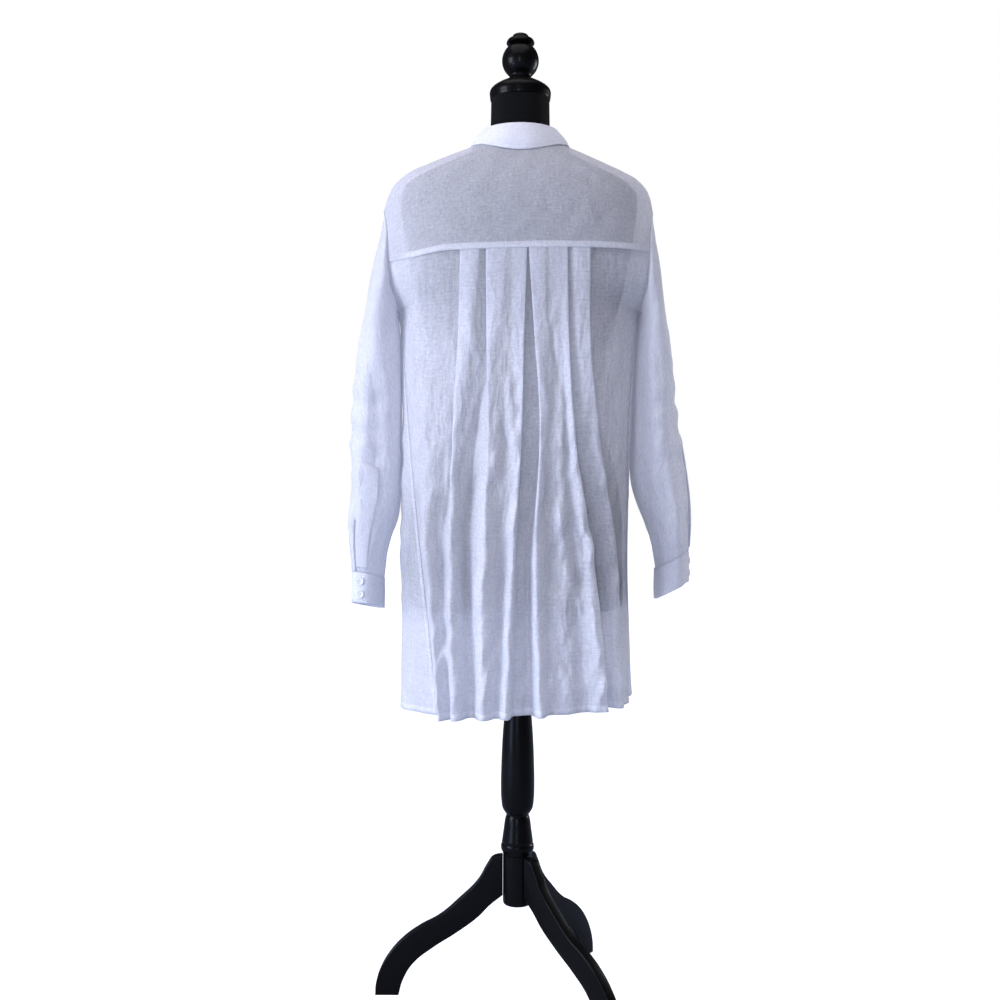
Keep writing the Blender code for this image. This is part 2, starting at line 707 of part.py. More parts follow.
def sleeve_point(cuff, turns, share, out=0.0):
    """A point of a sleeve from the armhole, share 0, to the cuff seam, share 1."""
    side = cuff.side
    turn = blend(turns[0], turns[1], ease((share - 0.10) / 0.50))
    low = ease((1 - math.cos(math.radians(turns[0]))) / 2)
    place = armhole_place(side, turns[0], 0.5 * CLOTH + SEAM)
    start = body(place[0], place[1]) + np.array([side * (SEAM + 1.2 * CLOTH * low), 0.0, 0.0])
    end_z = cuff_top(cuff, turn) + 0.5 * SEAM
    z = blend(start[2], end_z, share**1.3)
    ring = sleeve_ring(side, turn, z)
    centre = np.array([side * SLEEVE_MIDDLE, 0.0, z])
    away = (ring - centre) / np.linalg.norm((ring - centre)[:2])
    weight = min(share / 0.24, 1.0) ** 0.6
    puff = SLEEVE_PUFF * math.sin(math.pi * weight) * abs(math.sin(math.radians(turn)))
    point = blend(np.array([start[0], start[1], z]), ring, weight)
    return point + away * (out + puff)


SLEEVE_SHARES = (0.0, 0.03, 0.08, 0.14, 0.21, 0.29, 0.38, 0.47, 0.56, 0.65, 0.74, 0.82, 0.88, 0.94, 1.0)


def sleeve(name, cuff, material, collection):
    turns = sleeve_turns(cuff)
    length = ARMHOLE_Z - cuff.z
    slit_from = next(i for i, s in enumerate(SLEEVE_SHARES) if (1 - s) * length <= SLIT_HEIGHT)
    points = [[sleeve_point(cuff, pair, share) for pair in turns] for share in SLEEVE_SHARES]
    return add_cloth(name, points, material, collection, ring=True, slit_from=slit_from)


def sleeve_placket(name, cuff, material, collection):
    """A narrow band on the sleeve beside the slit, from the cuff up past the slit's end."""
    turns = sleeve_turns(cuff)[:3]
    shares = [*SLEEVE_SHARES[-5:-1], 0.99]
    points = [[sleeve_point(cuff, pair, share, LIFT) for pair in turns] for share in shares]
    return add_cloth(name, points, material, collection)


def cuff_point(cuff, turn, drop, out=0.0):
    z_top = cuff_top(cuff, turn)
    ring = sleeve_ring(cuff.side, turn, cuff.z)
    centre = np.array([ring[0], 0.0, 0.0])
    centre[0] = cuff.side * CUFF_MIDDLE
    away = np.array([ring[0] - centre[0], ring[1], 0.0])
    away = away / np.linalg.norm(away)
    place = ring + away * out
    place[2] = z_top - drop
    return place


def add_cuff(name, cuff, material, collection):
    """A cuff band that laps over itself at the slit."""
    around, lap = 22, 2
    points = []
    for i in range(3):
        drop = blend(SEAM, CUFF_DEPTH, i / 2)
        line = []
        for j in range(around + lap + 1):
            turn = cuff.slit_turn - 3.0 + 360.0 * j / around
            over = ease((lap + 2 - j) / 2)
            under = ease((j - around + 2) / 2)
            line.append(cuff_point(cuff, turn, drop, CUFF_LAP * (over - under)))
        points.append(line)
    return add_cloth(name, points, material, collection, wall=CUFF_CLOTH)


def stand_point(turn, share, out=0.0):
    """A point of the collar stand from the neck seam, share 0, to its top edge, share 1."""
    sine, cosine = math.sin(math.radians(turn)), math.cos(math.radians(turn))
    place = neck_place(turn)
    base = body(place[0], place[1])
    along = NECK_BACK if cosine > 0 else NECK_FRONT
    inward = STAND_LEAN * share
    x = (NECK_HALF_WIDTH - inward + out) * sine
    y = (along - inward + out) * cosine
    back_top = max(COLLAR_FOLD_Z, base[2] + 0.012)
    top = back_top if cosine > 0 else blend(COLLAR_FOLD_Z, 1.338, cosine * cosine)
    z = blend(base[2] + SEAM + CLOTH - 1.5 * min(out, 0.0), top, share)
    return np.array([x, y, z])


def collar_stand(material, collection):
    """The neckband, whose left end laps over its right end at the front."""
    steps = 34
    points = []
    for i in range(3):
        line = []
        for j in range(steps + 2):
            turn = -180.0 + 360.0 * j / steps
            over = ease((j - steps + 2) / 2)
            under = ease((3 - j) / 2)
            line.append(stand_point(turn, i / 2, STAND_LAP * (over - under)))
        points.append(line)
    return add_cloth("collar_stand", points, material, collection)


def collar(material, collection):
    """The turned-down fall: it starts over the stand's top edge and ends on the yoke and fronts."""
    steps = 32
    points = []
    for share in (0.0, 0.15, 0.30, 0.52, 0.76, 1.0):
        line = []
        for j in range(steps + 1):
            turn = blend(-COLLAR_END, COLLAR_END, j / steps)
            line.append(collar_point(turn, share))
        points.append(line)
    return add_cloth("collar", points, material, collection, wall=CUFF_CLOTH)


CollarEdge = namedtuple("CollarEdge", "z across forward height")
COLLAR_FRONT = (
    CollarEdge(0.00, 0.0790, 0.000, 1.3530),
    CollarEdge(0.30, 0.0810, 0.032, 1.3360),
    CollarEdge(0.55, 0.0765, 0.060, 1.3100),
    CollarEdge(0.80, 0.0655, 0.086, 1.2820),
    CollarEdge(1.00, 0.0520, 0.108, 1.2560),
)


def collar_low(turn):
    """The collar's free edge: level round the back, running down to its points in front."""
    sine, cosine = math.sin(math.radians(turn)), math.cos(math.radians(turn))
    if cosine >= 0:
        x, y = 0.0790 * signed_power(sine, 0.92), 0.0770 * abs(cosine) ** 0.92
        z = blend(1.3320, 1.3510, sine * sine)
    else:
        share = (abs(turn) - 90.0) / (COLLAR_END - 90.0)
        x = math.copysign(column(COLLAR_FRONT, "across", share), sine)
        y = -column(COLLAR_FRONT, "forward", share)
        z = column(COLLAR_FRONT, "height", share)
    return np.array([x, y, max(z, height_at(x, y) + 0.0045)])


def collar_point(turn, share):
    top = stand_point(turn, 1.0)
    sine, cosine = math.sin(math.radians(turn)), math.cos(math.radians(turn))
    outward = np.array([sine, cosine, 0.0])
    rise = 2 * SEAM + CUFF_CLOTH / 2
    inner_edge = top + np.array([0.0, 0.0, rise])
    crown = top + outward * 0.0024 + np.array([0.0, 0.0, rise + 0.0022])
    shoulder = top + outward * 0.0054 + np.array([0.0, 0.0, rise - 0.0020])
    if share < 0.15:
        return blend(inner_edge, crown, share / 0.15)
    if share < 0.30:
        return blend(crown, shoulder, (share - 0.15) / 0.15)
    t = (share - 0.30) / 0.70
    bow = 0.0030 * math.sin(math.pi * t) * (1 - 0.5 * abs(sine))
    return blend(shoulder, collar_low(turn), t) + outward * bow


def add_button(name, place, facing, material, collection):
    """A small rimmed button, its back to the cloth and its face the way given."""
    half = BUTTON_DEPTH / 2
    profile = [
        (0.0, half * 0.35),
        (BUTTON_RADIUS * 0.62, half * 0.35),
        (BUTTON_RADIUS * 0.80, half),
        (BUTTON_RADIUS, half * 0.2),
        (BUTTON_RADIUS * 0.86, -half),
        (0.0, -half),
    ]
    obj = add_turned(name, profile, 12, material, collection, place)
    direction = np.array(facing, float)
    direction /= np.linalg.norm(direction)
    obj.rotation_euler = (
        0.0,
        math.acos(direction[2]),
        math.atan2(direction[1], direction[0]),
    )
    return obj


def front_buttons(material, collection):
    left, right = front_points(1), front_points(-1)
    centre = [blend(a[0], b[0], 0.5) for a, b in zip(left, right)]
    heights = [point[2] for point in centre]
    for i in range(5):
        z = FRONT_BUTTON_Z - FRONT_BUTTON_PITCH * i
        k = next(n for n in range(len(heights) - 1) if heights[n + 1] <= z)
        t = (heights[k] - z) / (heights[k] - heights[k + 1])
        place = blend(centre[k], centre[k + 1], t)
        down = centre[k + 1] - centre[k]
        facing = np.array([0.0, down[2], -down[1]])
        facing /= np.linalg.norm(facing)
        place = place + np.array([0.0, -LIFT, 0.0]) + facing * (CLOTH / 2 + SEAM + BUTTON_DEPTH / 2)
        add_button(f"front_button_{i + 1}", place, facing, material, collection)


def stand_button(material, collection):
    base, top = stand_point(180.0, 0.0, 0.0016), stand_point(180.0, 1.0, 0.0016)
    facing = np.array([0.0, (top - base)[2] * -1, (top - base)[1]])
    facing /= np.linalg.norm(facing)
    place = blend(base, top, 0.5) + facing * (CLOTH / 2 + SEAM + BUTTON_DEPTH / 2)
    add_button("stand_button", place, facing, material, collection)


def cuff_buttons(name, cuff, material, collection):
    turn = cuff.slit_turn + CUFF_BUTTON_TURN
    for i, drop in enumerate(CUFF_BUTTON_DROPS):
        here = cuff_point(cuff, turn, drop, CUFF_LAP)
        along = [cuff_point(cuff, turn + step, drop, CUFF_LAP) for step in (-3, 3)]
        facing = np.cross(along[1] - along[0], np.array([0.0, 0.0, cuff.side]))
        facing /= np.linalg.norm(facing)
        place = here + facing * (CUFF_CLOTH / 2 + SEAM + BUTTON_DEPTH / 2)
        add_button(f"cuff_button_{name}_{i + 1}", place, facing, material, collection)


def form_torso(material, collection):
    """A smooth limbless torso with its neck, closed flat at both ends."""
    around = 26
    heights = []
    for low, high in zip(FORM, FORM[1:]):
        heights += [low.z] if high.z - low.z < 0.075 else [low.z, (low.z + high.z) / 2]
    heights.append(FORM[-1].z)
    obj = finish("form_torso", material, collection)
    mesh = bmesh.new()
    rings = []
    for z in heights:
        ring = []
        for j in range(around):
            turn = 360.0 * j / around
            ring.append(mesh.verts.new(surface(FORM, turn, z)))
        rings.append(ring)
    for a, b in zip(rings, rings[1:]):
        for j in range(around):
            k = (j + 1) % around
            mesh.faces.new((a[j], b[j], b[k], a[k]))
    mesh.faces.new(rings[0])
    mesh.faces.new(list(reversed(rings[-1])))
    bmesh.ops.recalc_face_normals(mesh, faces=mesh.faces)
    mesh.to_mesh(obj.data)
    mesh.free()
    obj.data.shade_smooth()
    obj.data.set_sharp_from_angle(angle=math.radians(60))
    return obj


def arc(centre_r, centre_z, radius, start, stop, steps):
    """Points of a turned profile along a round, in degrees from straight out."""
    turns = [math.radians(blend(start, stop, i / steps)) for i in range(steps + 1)]
    return [(centre_r + radius * math.cos(a), centre_z + radius * math.sin(a)) for a in turns]


def neck_finial(material, collection):
    """The turned neck cap with its ball finial."""
    profile = [(0.0, 1.5356), (0.0070, 1.5350), (0.0128, 1.5318), (0.0136, 1.5290)]
    profile += [(0.0190, 1.5268), (0.0224, 1.5225), (0.0224, 1.5185), (0.0212, 1.5170)]
    profile += arc(0.0, 1.4924, 0.0294, 52, -50, 7)
    profile += [(0.0176, 1.4680), (0.0184, 1.4640), (0.0270, 1.4585), (0.0380, 1.4525)]
    profile += [(0.0460, 1.4465), (0.0484, 1.4440), (0.0484, 1.4320), (0.0478, NECK_TOP + 0.0003)]
    profile += [(0.0, NECK_TOP + 0.0003)]
    return add_turned("neck_finial", profile, 24, material, collection)


def pole(material, collection):
    """The turned pole: a rod under the torso, a baluster, a tapered collar and a bead."""
    top = FORM_BOTTOM - 0.0003
    profile = [(0.0, top), (0.0380, top), (0.0380, top - 0.0080), (0.0180, top - 0.0110)]
    profile += [(0.0165, 0.5600), (0.0165, 0.5200), (0.0190, 0.4800), (0.0218, 0.4470)]
    profile += [(0.0248, 0.4050), (0.0262, 0.3700), (POLE_RADIUS, 0.3300), (0.0258, 0.3100)]
    profile += [(0.0235, 0.2975), (0.0180, 0.2885), (0.0178, 0.2870), (0.0190, 0.2840)]
    profile += [(0.0225, 0.2620), (0.0250, 0.2440), (0.0262, 0.2395), (0.0262, 0.2320)]
    profile += [(0.0235, HUB_TOP + 0.0003), (0.0, HUB_TOP + 0.0003)]
    return add_turned("pole", profile, 22, material, collection)


def hub(material, collection):
    """The tripod's round centre block, its lower edge rounded."""
    profile = [(0.0, HUB_TOP), (HUB_RADIUS - 0.0008, HUB_TOP), (HUB_RADIUS, HUB_TOP - 0.0008)]
    profile += arc(HUB_RADIUS - HUB_ROUND, HUB_BOTTOM + HUB_ROUND, HUB_ROUND, 0, -90, 4)
    profile += [(0.0, HUB_BOTTOM)]
    return add_turned("hub", profile, 24, material, collection)


def legs(material, collection):
    """Three flat S-curved legs, sawn from board, one under the left side and two behind it."""
    outline = (
        ("upper", ((LEG_INNER, 0.2240), (0.0390, 0.2200), (0.0480, 0.2080), (0.0632, 0.1820))),
        ("upper", ((0.0920, 0.1532), (0.1240, 0.1260), (0.1560, 0.1084), (0.1810, 0.0905))),
        ("upper", ((0.2030, 0.0668), (0.2180, 0.0412), (0.2250, 0.0190), (0.2262, 0.0000))),
        ("lower", ((0.1890, 0.0000), (0.1816, 0.0252), (0.1656, 0.0508), (0.1336, 0.0764))),
        ("lower", ((0.0984, 0.0988), (0.0632, 0.1244), (0.0440, 0.1436), (LEG_INNER, 0.1600))),
    )
    points = [point for _, part in outline for point in part]
    corners = {0, 11, 12, 19}
    for i, turn in enumerate(LEG_TURNS):
        curve = bpy.data.curves.new(f"leg_{i + 1}_outline", "CURVE")
        curve.dimensions = "2D"
        curve.fill_mode = "BOTH"
        curve.extrude = LEG_THICKNESS / 2 - LEG_EDGE
        curve.bevel_depth = LEG_EDGE
        curve.bevel_resolution = 0
        curve.offset = -LEG_EDGE
        curve.resolution_u = 2
        spline = curve.splines.new("BEZIER")
        spline.bezier_points.add(len(points) - 1)
        spline.use_cyclic_u = True
        for k, (bezier, (r, z)) in enumerate(zip(spline.bezier_points, points)):
            bezier.co = (r, z, 0.0)
            kind = "VECTOR" if k in corners else "AUTO"
            bezier.handle_left_type = kind
            bezier.handle_right_type = kind
        outline_obj = bpy.data.objects.new(f"leg_{i + 1}_outline", curve)
        collection.objects.link(outline_obj)
        bpy.context.view_layer.update()
        evaluated = outline_obj.evaluated_get(bpy.context.evaluated_depsgraph_get())
        mesh = bpy.data.meshes.new_from_object(evaluated)
        bpy.data.objects.remove(outline_obj, do_unlink=True)
        leg = bpy.data.objects.new(f"leg_{i + 1}", mesh)
        mesh.materials.clear()
        mesh.materials.append(material)
        collection.objects.link(leg)
        welded = bmesh.new()
        welded.from_mesh(mesh)
        bmesh.ops.remove_doubles(welded, verts=welded.verts, dist=0.00002)
        bmesh.ops.recalc_face_normals(welded, faces=welded.faces)
        welded.to_mesh(mesh)
        welded.free()
        leg.rotation_euler = (math.pi / 2, 0.0, math.radians(turn))


def main():
    clear_scene()
    collection = bpy.data.collections.new("shirt_dress_on_form")
    bpy.context.scene.collection.children.link(collection)
    linen = make_material("white_linen", (0.82, 0.83, 0.87), 0.9)
    linen_double = make_material("white_linen_double", (0.90, 0.91, 0.94), 0.9)
    button = make_material("white_button", (0.88, 0.88, 0.88), 0.3)
    jersey = make_material("black_jersey", (0.012, 0.012, 0.013), 0.95)
    wood = make_material("black_wood", (0.010, 0.010, 0.011), 0.35)

    form_torso(jersey, collection)
    neck_finial(wood, collection)
    pole(wood, collection)
    hub(wood, collection)
    legs(wood, collection)

    yoke(linen, collection)
    back_panel(linen, collection)
    front("front_left", 1, linen, collection)
    front("front_right", -1, linen, collection)
    button_placket(linen_double, collection)
    collar_stand(linen_double, collection)
    collar(linen_double, collection)
    for name, cuff in CUFFS.items():
        sleeve(f"sleeve_{name}", cuff, linen, collection)
        sleeve_placket(f"sleeve_placket_{name}", cuff, linen_double, collection)
        add_cuff(f"cuff_{name}", cuff, linen_double, collection)
        cuff_buttons(name, cuff, button, collection)
    front_buttons(button, collection)
    stand_button(button, collection)


main()
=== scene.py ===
import math
from bisect import bisect
from collections import namedtuple
from functools import cache

import bpy
import numpy as np
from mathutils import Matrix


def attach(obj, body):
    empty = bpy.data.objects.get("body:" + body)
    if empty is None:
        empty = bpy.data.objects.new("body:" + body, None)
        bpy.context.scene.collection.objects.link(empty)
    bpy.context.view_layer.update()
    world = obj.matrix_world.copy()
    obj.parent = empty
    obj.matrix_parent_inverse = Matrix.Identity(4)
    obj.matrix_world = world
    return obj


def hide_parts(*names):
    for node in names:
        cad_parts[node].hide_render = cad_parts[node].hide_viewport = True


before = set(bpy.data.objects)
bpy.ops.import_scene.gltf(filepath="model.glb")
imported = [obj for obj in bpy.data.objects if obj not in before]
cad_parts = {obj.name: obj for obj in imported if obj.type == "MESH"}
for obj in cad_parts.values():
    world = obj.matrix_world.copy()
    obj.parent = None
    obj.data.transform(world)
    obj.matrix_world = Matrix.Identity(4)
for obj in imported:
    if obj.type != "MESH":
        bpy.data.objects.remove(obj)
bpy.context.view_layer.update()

# The tripod's legs: three flat S-curved legs sawn from 17 mm board with eased edges, each fastened
# end-on to the hub. All the wood of the stand is finished in the same black satin lacquer.


class Signal:
    """A shader value, on which arithmetic adds the Math nodes that work it out."""

    def __init__(self, finish, socket):
        self.finish = finish
        self.socket = socket

    def maths(self, operation, *others, clamp=False):
        settings = {"operation": operation, "use_clamp": clamp}
        return self.finish.add("Math", settings, dict(enumerate((self, *others))))

    def clamped(self, times=1.0):
        """The value times a number, kept between 0 and 1."""
        return self.maths("MULTIPLY", times, clamp=True)

    def __add__(self, other):
        return self.maths("ADD", other)

    def __mul__(self, other):
        return self.maths("MULTIPLY", other)

    def __sub__(self, other):
        return self.maths("SUBTRACT", other)

    def __rsub__(self, other):
        return self.finish.add("Math", {"operation": "SUBTRACT"}, {0: other, 1: self})

    def __pow__(self, other):
        return self.maths("POWER", other)

    def __abs__(self):
        return self.maths("ABSOLUTE")

    __radd__ = __add__
    __rmul__ = __mul__


class Finish:
    """A procedural material, or the light of the room, put together node by node."""

    def __init__(self, name, kind="materials"):
        self.owner = getattr(bpy.data, kind).new(name)
        self.owner.use_nodes = True
        self.tree = self.owner.node_tree
        self.tree.nodes.clear()

    def add(self, kind, settings=None, inputs=None, output=0):
        node = self.tree.nodes.new("ShaderNode" + kind)
        for name, value in (settings or {}).items():
            setattr(node, name, value)
        for name, value in (inputs or {}).items():
            if isinstance(value, Signal):
                self.tree.links.new(value.socket, node.inputs[name])
            else:
                node.inputs[name].default_value = value
        return Signal(self, node.outputs[output]) if node.outputs else None

    def parts(self, kind, names, inputs=None):
        """Several outputs of one node."""
        first = self.add(kind, inputs=inputs)
        return [Signal(self, first.socket.node.outputs[name]) for name in names]

    def noise(self, place, scale, detail, roughness=0.5):
        """A noise whose grain is 1 / scale metres along each axis."""
        stretched = self.add("Mapping", inputs={"Vector": place, "Scale": scale})
        inputs = {"Vector": stretched, "Scale": 1.0, "Detail": detail, "Roughness": roughness}
        return self.add("TexNoise", inputs=inputs)

    def bump(self, height, distance, strength):
        return self.add("Bump", inputs={"Strength": strength, "Distance": distance, "Height": height})

    def colour(self, share, first, second):
        inputs = {0: share, 6: (*first, 1.0), 7: (*second, 1.0)}
        return self.add("Mix", {"data_type": "RGBA"}, inputs, output=2)

    def painted(self, look):
        return self.surface(self.add("BsdfPrincipled", inputs=look))

    def surface(self, shader, output="OutputMaterial"):
        self.add(output, inputs={"Surface": shader})
        return self.owner


def lacquered_wood(name, turn=0.0, slope=90.0):
    """Black satin lacquer over closed grain, which runs along a board's turn and slope in degrees."""
    finish = Finish(name)
    place = finish.add("TexCoord", output="Object")
    level = {"Vector": place, "Rotation": (0.0, 0.0, math.radians(-turn))}
    board = finish.add("Mapping", inputs=level)
    along = finish.add("Mapping", inputs={"Vector": board, "Rotation": (0.0, math.radians(slope), 0.0)})
    grain = finish.noise(along, (14.0, 420.0, 420.0), 4.0)
    handled = finish.noise(place, (26.0, 26.0, 26.0), 3.0)
    flow = finish.noise(place, (260.0, 260.0, 260.0), 2.0)
    look = {
        "Base Color": finish.colour(grain, (0.0014, 0.0014, 0.0016), (0.0032, 0.0030, 0.0031)),
        "Roughness": 0.27 + 0.10 * handled + 0.05 * grain,
        "Normal": finish.bump(0.6 * grain + 0.5 * flow, 0.0004, 0.35),
        "Specular IOR Level": 0.09,
        "Coat Weight": 0.08,
        "Coat Roughness": 0.12,
    }
    return finish.painted(look)


def put_in_place(piece, replaced):
    """Hands a finished piece over to the frame, in place of the named solid if there is one."""
    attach(piece, "root")
    if replaced:
        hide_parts(replaced)


def drawn_line(name, points, closed):
    """A Bezier line through (across, up, kind) points: 'corner' is sharp and 'round' is smooth."""
    bpy.ops.object.select_all(action="DESELECT")
    bpy.ops.curve.primitive_bezier_curve_add()
    line = bpy.context.object
    line.name = name
    spline = line.data.splines[0]
    spline.bezier_points.add(len(points) - 2)
    spline.use_cyclic_u = closed
    for knot, (across, up, kind) in zip(spline.bezier_points, points):
        knot.co = (across, up, 0.0)
        knot.handle_left_type = "VECTOR" if kind == "corner" else "AUTO"
        knot.handle_right_type = knot.handle_left_type
    return line


def corners(*places):
    """Sharp points of an outline, in millimetres."""
    return [(across / 1000, up / 1000, "corner") for across, up in places]


def rounds(*places):
    """Points in millimetres that an outline runs smoothly through."""
    return [(across / 1000, up / 1000, "round") for across, up in places]


def weld():
    """Welds the doubled points of the active mesh and turns its faces outwards."""
    bpy.ops.object.mode_set(mode="EDIT")
    bpy.ops.mesh.select_all(action="SELECT")
    bpy.ops.mesh.remove_doubles(threshold=0.00002)
    bpy.ops.mesh.normals_make_consistent(inside=False)
    bpy.ops.object.mode_set(mode="OBJECT")


def cover_with(piece, finish):
    piece.data.materials.clear()
    piece.data.materials.append(finish)


def saw_leg(name, turn):
    """One leg: the sawn outline, as thick as the board, with eased edges."""
    board, eased = 0.0170, 0.0020
    outline = corners((23.4, 224)) + rounds((39, 220), (48, 208), (63.2, 182), (92, 153.2), (124, 126))
    outline += rounds((156, 108.4), (181, 90.5), (203, 66.8), (218, 41.2), (225, 19))
    outline += corners((226.2, 0), (189, 0)) + rounds((181.6, 25.2), (165.6, 50.8), (133.6, 76.4))
    outline += rounds((98.4, 98.8), (63.2, 124.4), (44, 143.6)) + corners((23.4, 160))
    leg = drawn_line(name, outline, True)
    leg.data.dimensions = "2D"
    leg.data.fill_mode = "BOTH"
    leg.data.resolution_u = 8
    leg.data.extrude = board / 2 - eased
    leg.data.bevel_depth = eased
    leg.data.bevel_resolution = 3
    leg.data.offset = -eased
    bpy.ops.object.convert(target="MESH")
    weld()
    leg.rotation_euler = (math.pi / 2, 0.0, math.radians(turn))
    bpy.ops.object.transform_apply(location=True, rotation=True, scale=True)
    bpy.ops.object.shade_smooth_by_angle(angle=math.radians(32))
    cover_with(leg, lacquered_wood(f"black_lacquer_{name}", turn, 40.0))
    return leg


for number, turn in enumerate((0.0, 131.0, 235.0), start=1):
    put_in_place(saw_leg(f"sawn_leg_{number}", turn), f"leg_{number}")

# The hub: a round block that the legs meet, turned and lacquered like the pole above it, with its
# lower edge rounded over. The pole stands in it.

black_lacquer = lacquered_wood("black_lacquer_turned")


def shape(piece, kind, **settings):
    """Puts a modifier on the active piece and applies it."""
    modifier = piece.modifiers.new(kind, kind)
    for name, value in settings.items():
        setattr(modifier, name, value)
    bpy.ops.object.modifier_apply(modifier=modifier.name)


def turn_on_lathe(name, profile):
    """A turned piece from a profile of (radius, height, kind) that runs down its outer side."""
    piece = drawn_line(name, profile, False)
    piece.data.resolution_u = 7
    bpy.ops.object.convert(target="MESH")
    piece.rotation_euler = (math.pi / 2, 0.0, 0.0)
    bpy.ops.object.transform_apply(location=True, rotation=True, scale=True)
    shape(piece, "SCREW", steps=96, render_steps=96, use_merge_vertices=True, merge_threshold=0.00004)
    weld()
    bpy.ops.object.shade_smooth_by_angle(angle=math.radians(34))
    cover_with(piece, black_lacquer)
    return piece


hub_profile = corners((0, 225), (21.8, 225), (23, 223.8), (23, 150))
hub_profile += rounds((22.4, 147.4), (20.8, 145.2)) + corners((17, 144), (0, 144))
put_in_place(turn_on_lathe("turned_hub", hub_profile), "hub")

# The pole: one turning of beech, lacquered black. A rod under the torso swells to a baluster, then
# a tapered neck and a bead above the hub.

pole_profile = corners((0, 616.7), (36.6, 616.7), (38, 615.3), (38, 610))
pole_profile += corners((36.6, 608.7), (19.2, 607))
pole_profile += rounds((16.8, 602), (16.5, 560), (16.5, 520), (19, 480), (21.8, 447), (24.8, 405))
pole_profile += rounds((26.2, 370), (26.8, 330), (26, 311), (23.8, 298))
pole_profile += corners((18.2, 289), (17.8, 287.2)) + rounds((19.2, 283.5), (22.5, 262))
pole_profile += corners((24.9, 245), (24.6, 242.8)) + rounds((25.8, 240.8), (26.4, 237), (25.9, 232.5))
pole_profile += corners((24, 229.2), (22.8, 225.3), (0, 225.3))
put_in_place(turn_on_lathe("turned_pole", pole_profile), "pole")

# The neck cap and its finial: a turned cap closes the neck, and on it stand a short stem, a ball
# and a small stepped button.

finial_profile = corners((0, 1535.6)) + rounds((6.2, 1535.2), (11, 1533.8), (13.2, 1530.8))
finial_profile += corners((13.7, 1528.8)) + rounds((17, 1527.6), (20.6, 1525.2))
finial_profile += corners((22.4, 1521.2), (22.2, 1519.6))
for degrees in (60, 48, 36, 24, 12, 0, -12, -24, -36, -47):
    kind = corners if degrees in (60, -47) else rounds
    ball = math.radians(degrees)
    finial_profile += kind((29.4 * math.cos(ball), 1492.4 + 29.4 * math.sin(ball)))
finial_profile += rounds((17.6, 1467.6), (18.2, 1464), (27, 1458.8), (38, 1452.8))
finial_profile += rounds((45.5, 1447.2), (48.4, 1443.2), (48.4, 1433))
finial_profile += corners((47.8, 1429), (46.2, 1428.3), (0, 1428.3))
put_in_place(turn_on_lathe("turned_finial", finial_profile), "neck_finial")

# The torso: a smooth padded form without limbs or head, under a fitted black jersey cover. The form
# is drawn as a stack of level rings, and the cover is shading on it.

BODY_POWER = 2.4
Section = namedtuple("Section", "z left right back front")


def millimetres(kind, *rows):
    """A table whose rows are given in millimetres."""
    return tuple(kind(*(value / 1000 for value in row)) for row in rows)


FORM = millimetres(
    Section,
    (617, 164, 158, 90, 92), (625, 173, 166, 97, 100), (680, 178, 165.5, 101, 105),
    (760, 174, 164, 100, 104), (850, 152, 150, 88, 95), (930, 126, 126, 73, 86),
    (1000, 134, 134, 80, 100), (1070, 152, 152, 94, 122), (1130, 166, 166, 101, 126),
    (1190, 178, 178, 101, 111), (1240, 188, 186, 96, 95), (1270, 190, 187, 89, 85),
    (1290, 181, 175, 81, 76), (1305, 160, 151, 74, 68), (1320, 127, 121, 66, 58), (1335, 93, 90, 57, 50),
    (1345, 69, 69, 51, 48), (1360, 53, 53, 48, 47), (1380, 47.5, 47.5, 47, 47),
    (1428, 46.5, 46.5, 46.5, 46.5),
)


def tangents_of(xs, ys):
    """Slopes at the knots that keep the curve between them from overshooting."""
    slopes = [(ys[i + 1] - ys[i]) / (xs[i + 1] - xs[i]) for i in range(len(xs) - 1)]
    inner = [2 * a * b / (a + b) if a * b > 0 else 0.0 for a, b in zip(slopes, slopes[1:])]
    return [slopes[0], *inner, slopes[-1]]


def smooth_read(xs, ys, tangents, at):
    i = min(max(bisect(xs, at) - 1, 0), len(xs) - 2)
    step = xs[i + 1] - xs[i]
    t = min(max((at - xs[i]) / step, 0.0), 1.0)
    return (
        ys[i] * (1 + 2 * t) * (1 - t) ** 2
        + ys[i + 1] * t * t * (3 - 2 * t)
        + tangents[i] * step * t * (1 - t) ** 2
        + tangents[i + 1] * step * t * t * (t - 1)
    )


@cache
def knots(rows, name):
    xs = [row.z for row in rows]
    ys = [getattr(row, name) for row in rows]
    return xs, ys, tangents_of(xs, ys)


def column(rows, name, at):
    """A table's column read at a height."""
    return smooth_read(*knots(rows, name), at)


def signed_power(value, power):
    return math.copysign(abs(value) ** power, value)


def radii(rows, z, left_side, back_side):
    across = column(rows, "left" if left_side else "right", z)
    along = column(rows, "back" if back_side else "front", z)
    return across, along


def sine_cosine(turn):
    return math.sin(math.radians(turn)), math.cos(math.radians(turn))


def surface(rows, turn, z):
    """A point of a body at a turn in degrees from the centre back towards the left side."""
    sine, cosine = sine_cosine(turn)
    across, along = radii(rows, z, sine >= 0, cosine >= 0)
    power = 2 / BODY_POWER
    return np.array([across * signed_power(sine, power), along * signed_power(cosine, power), z])


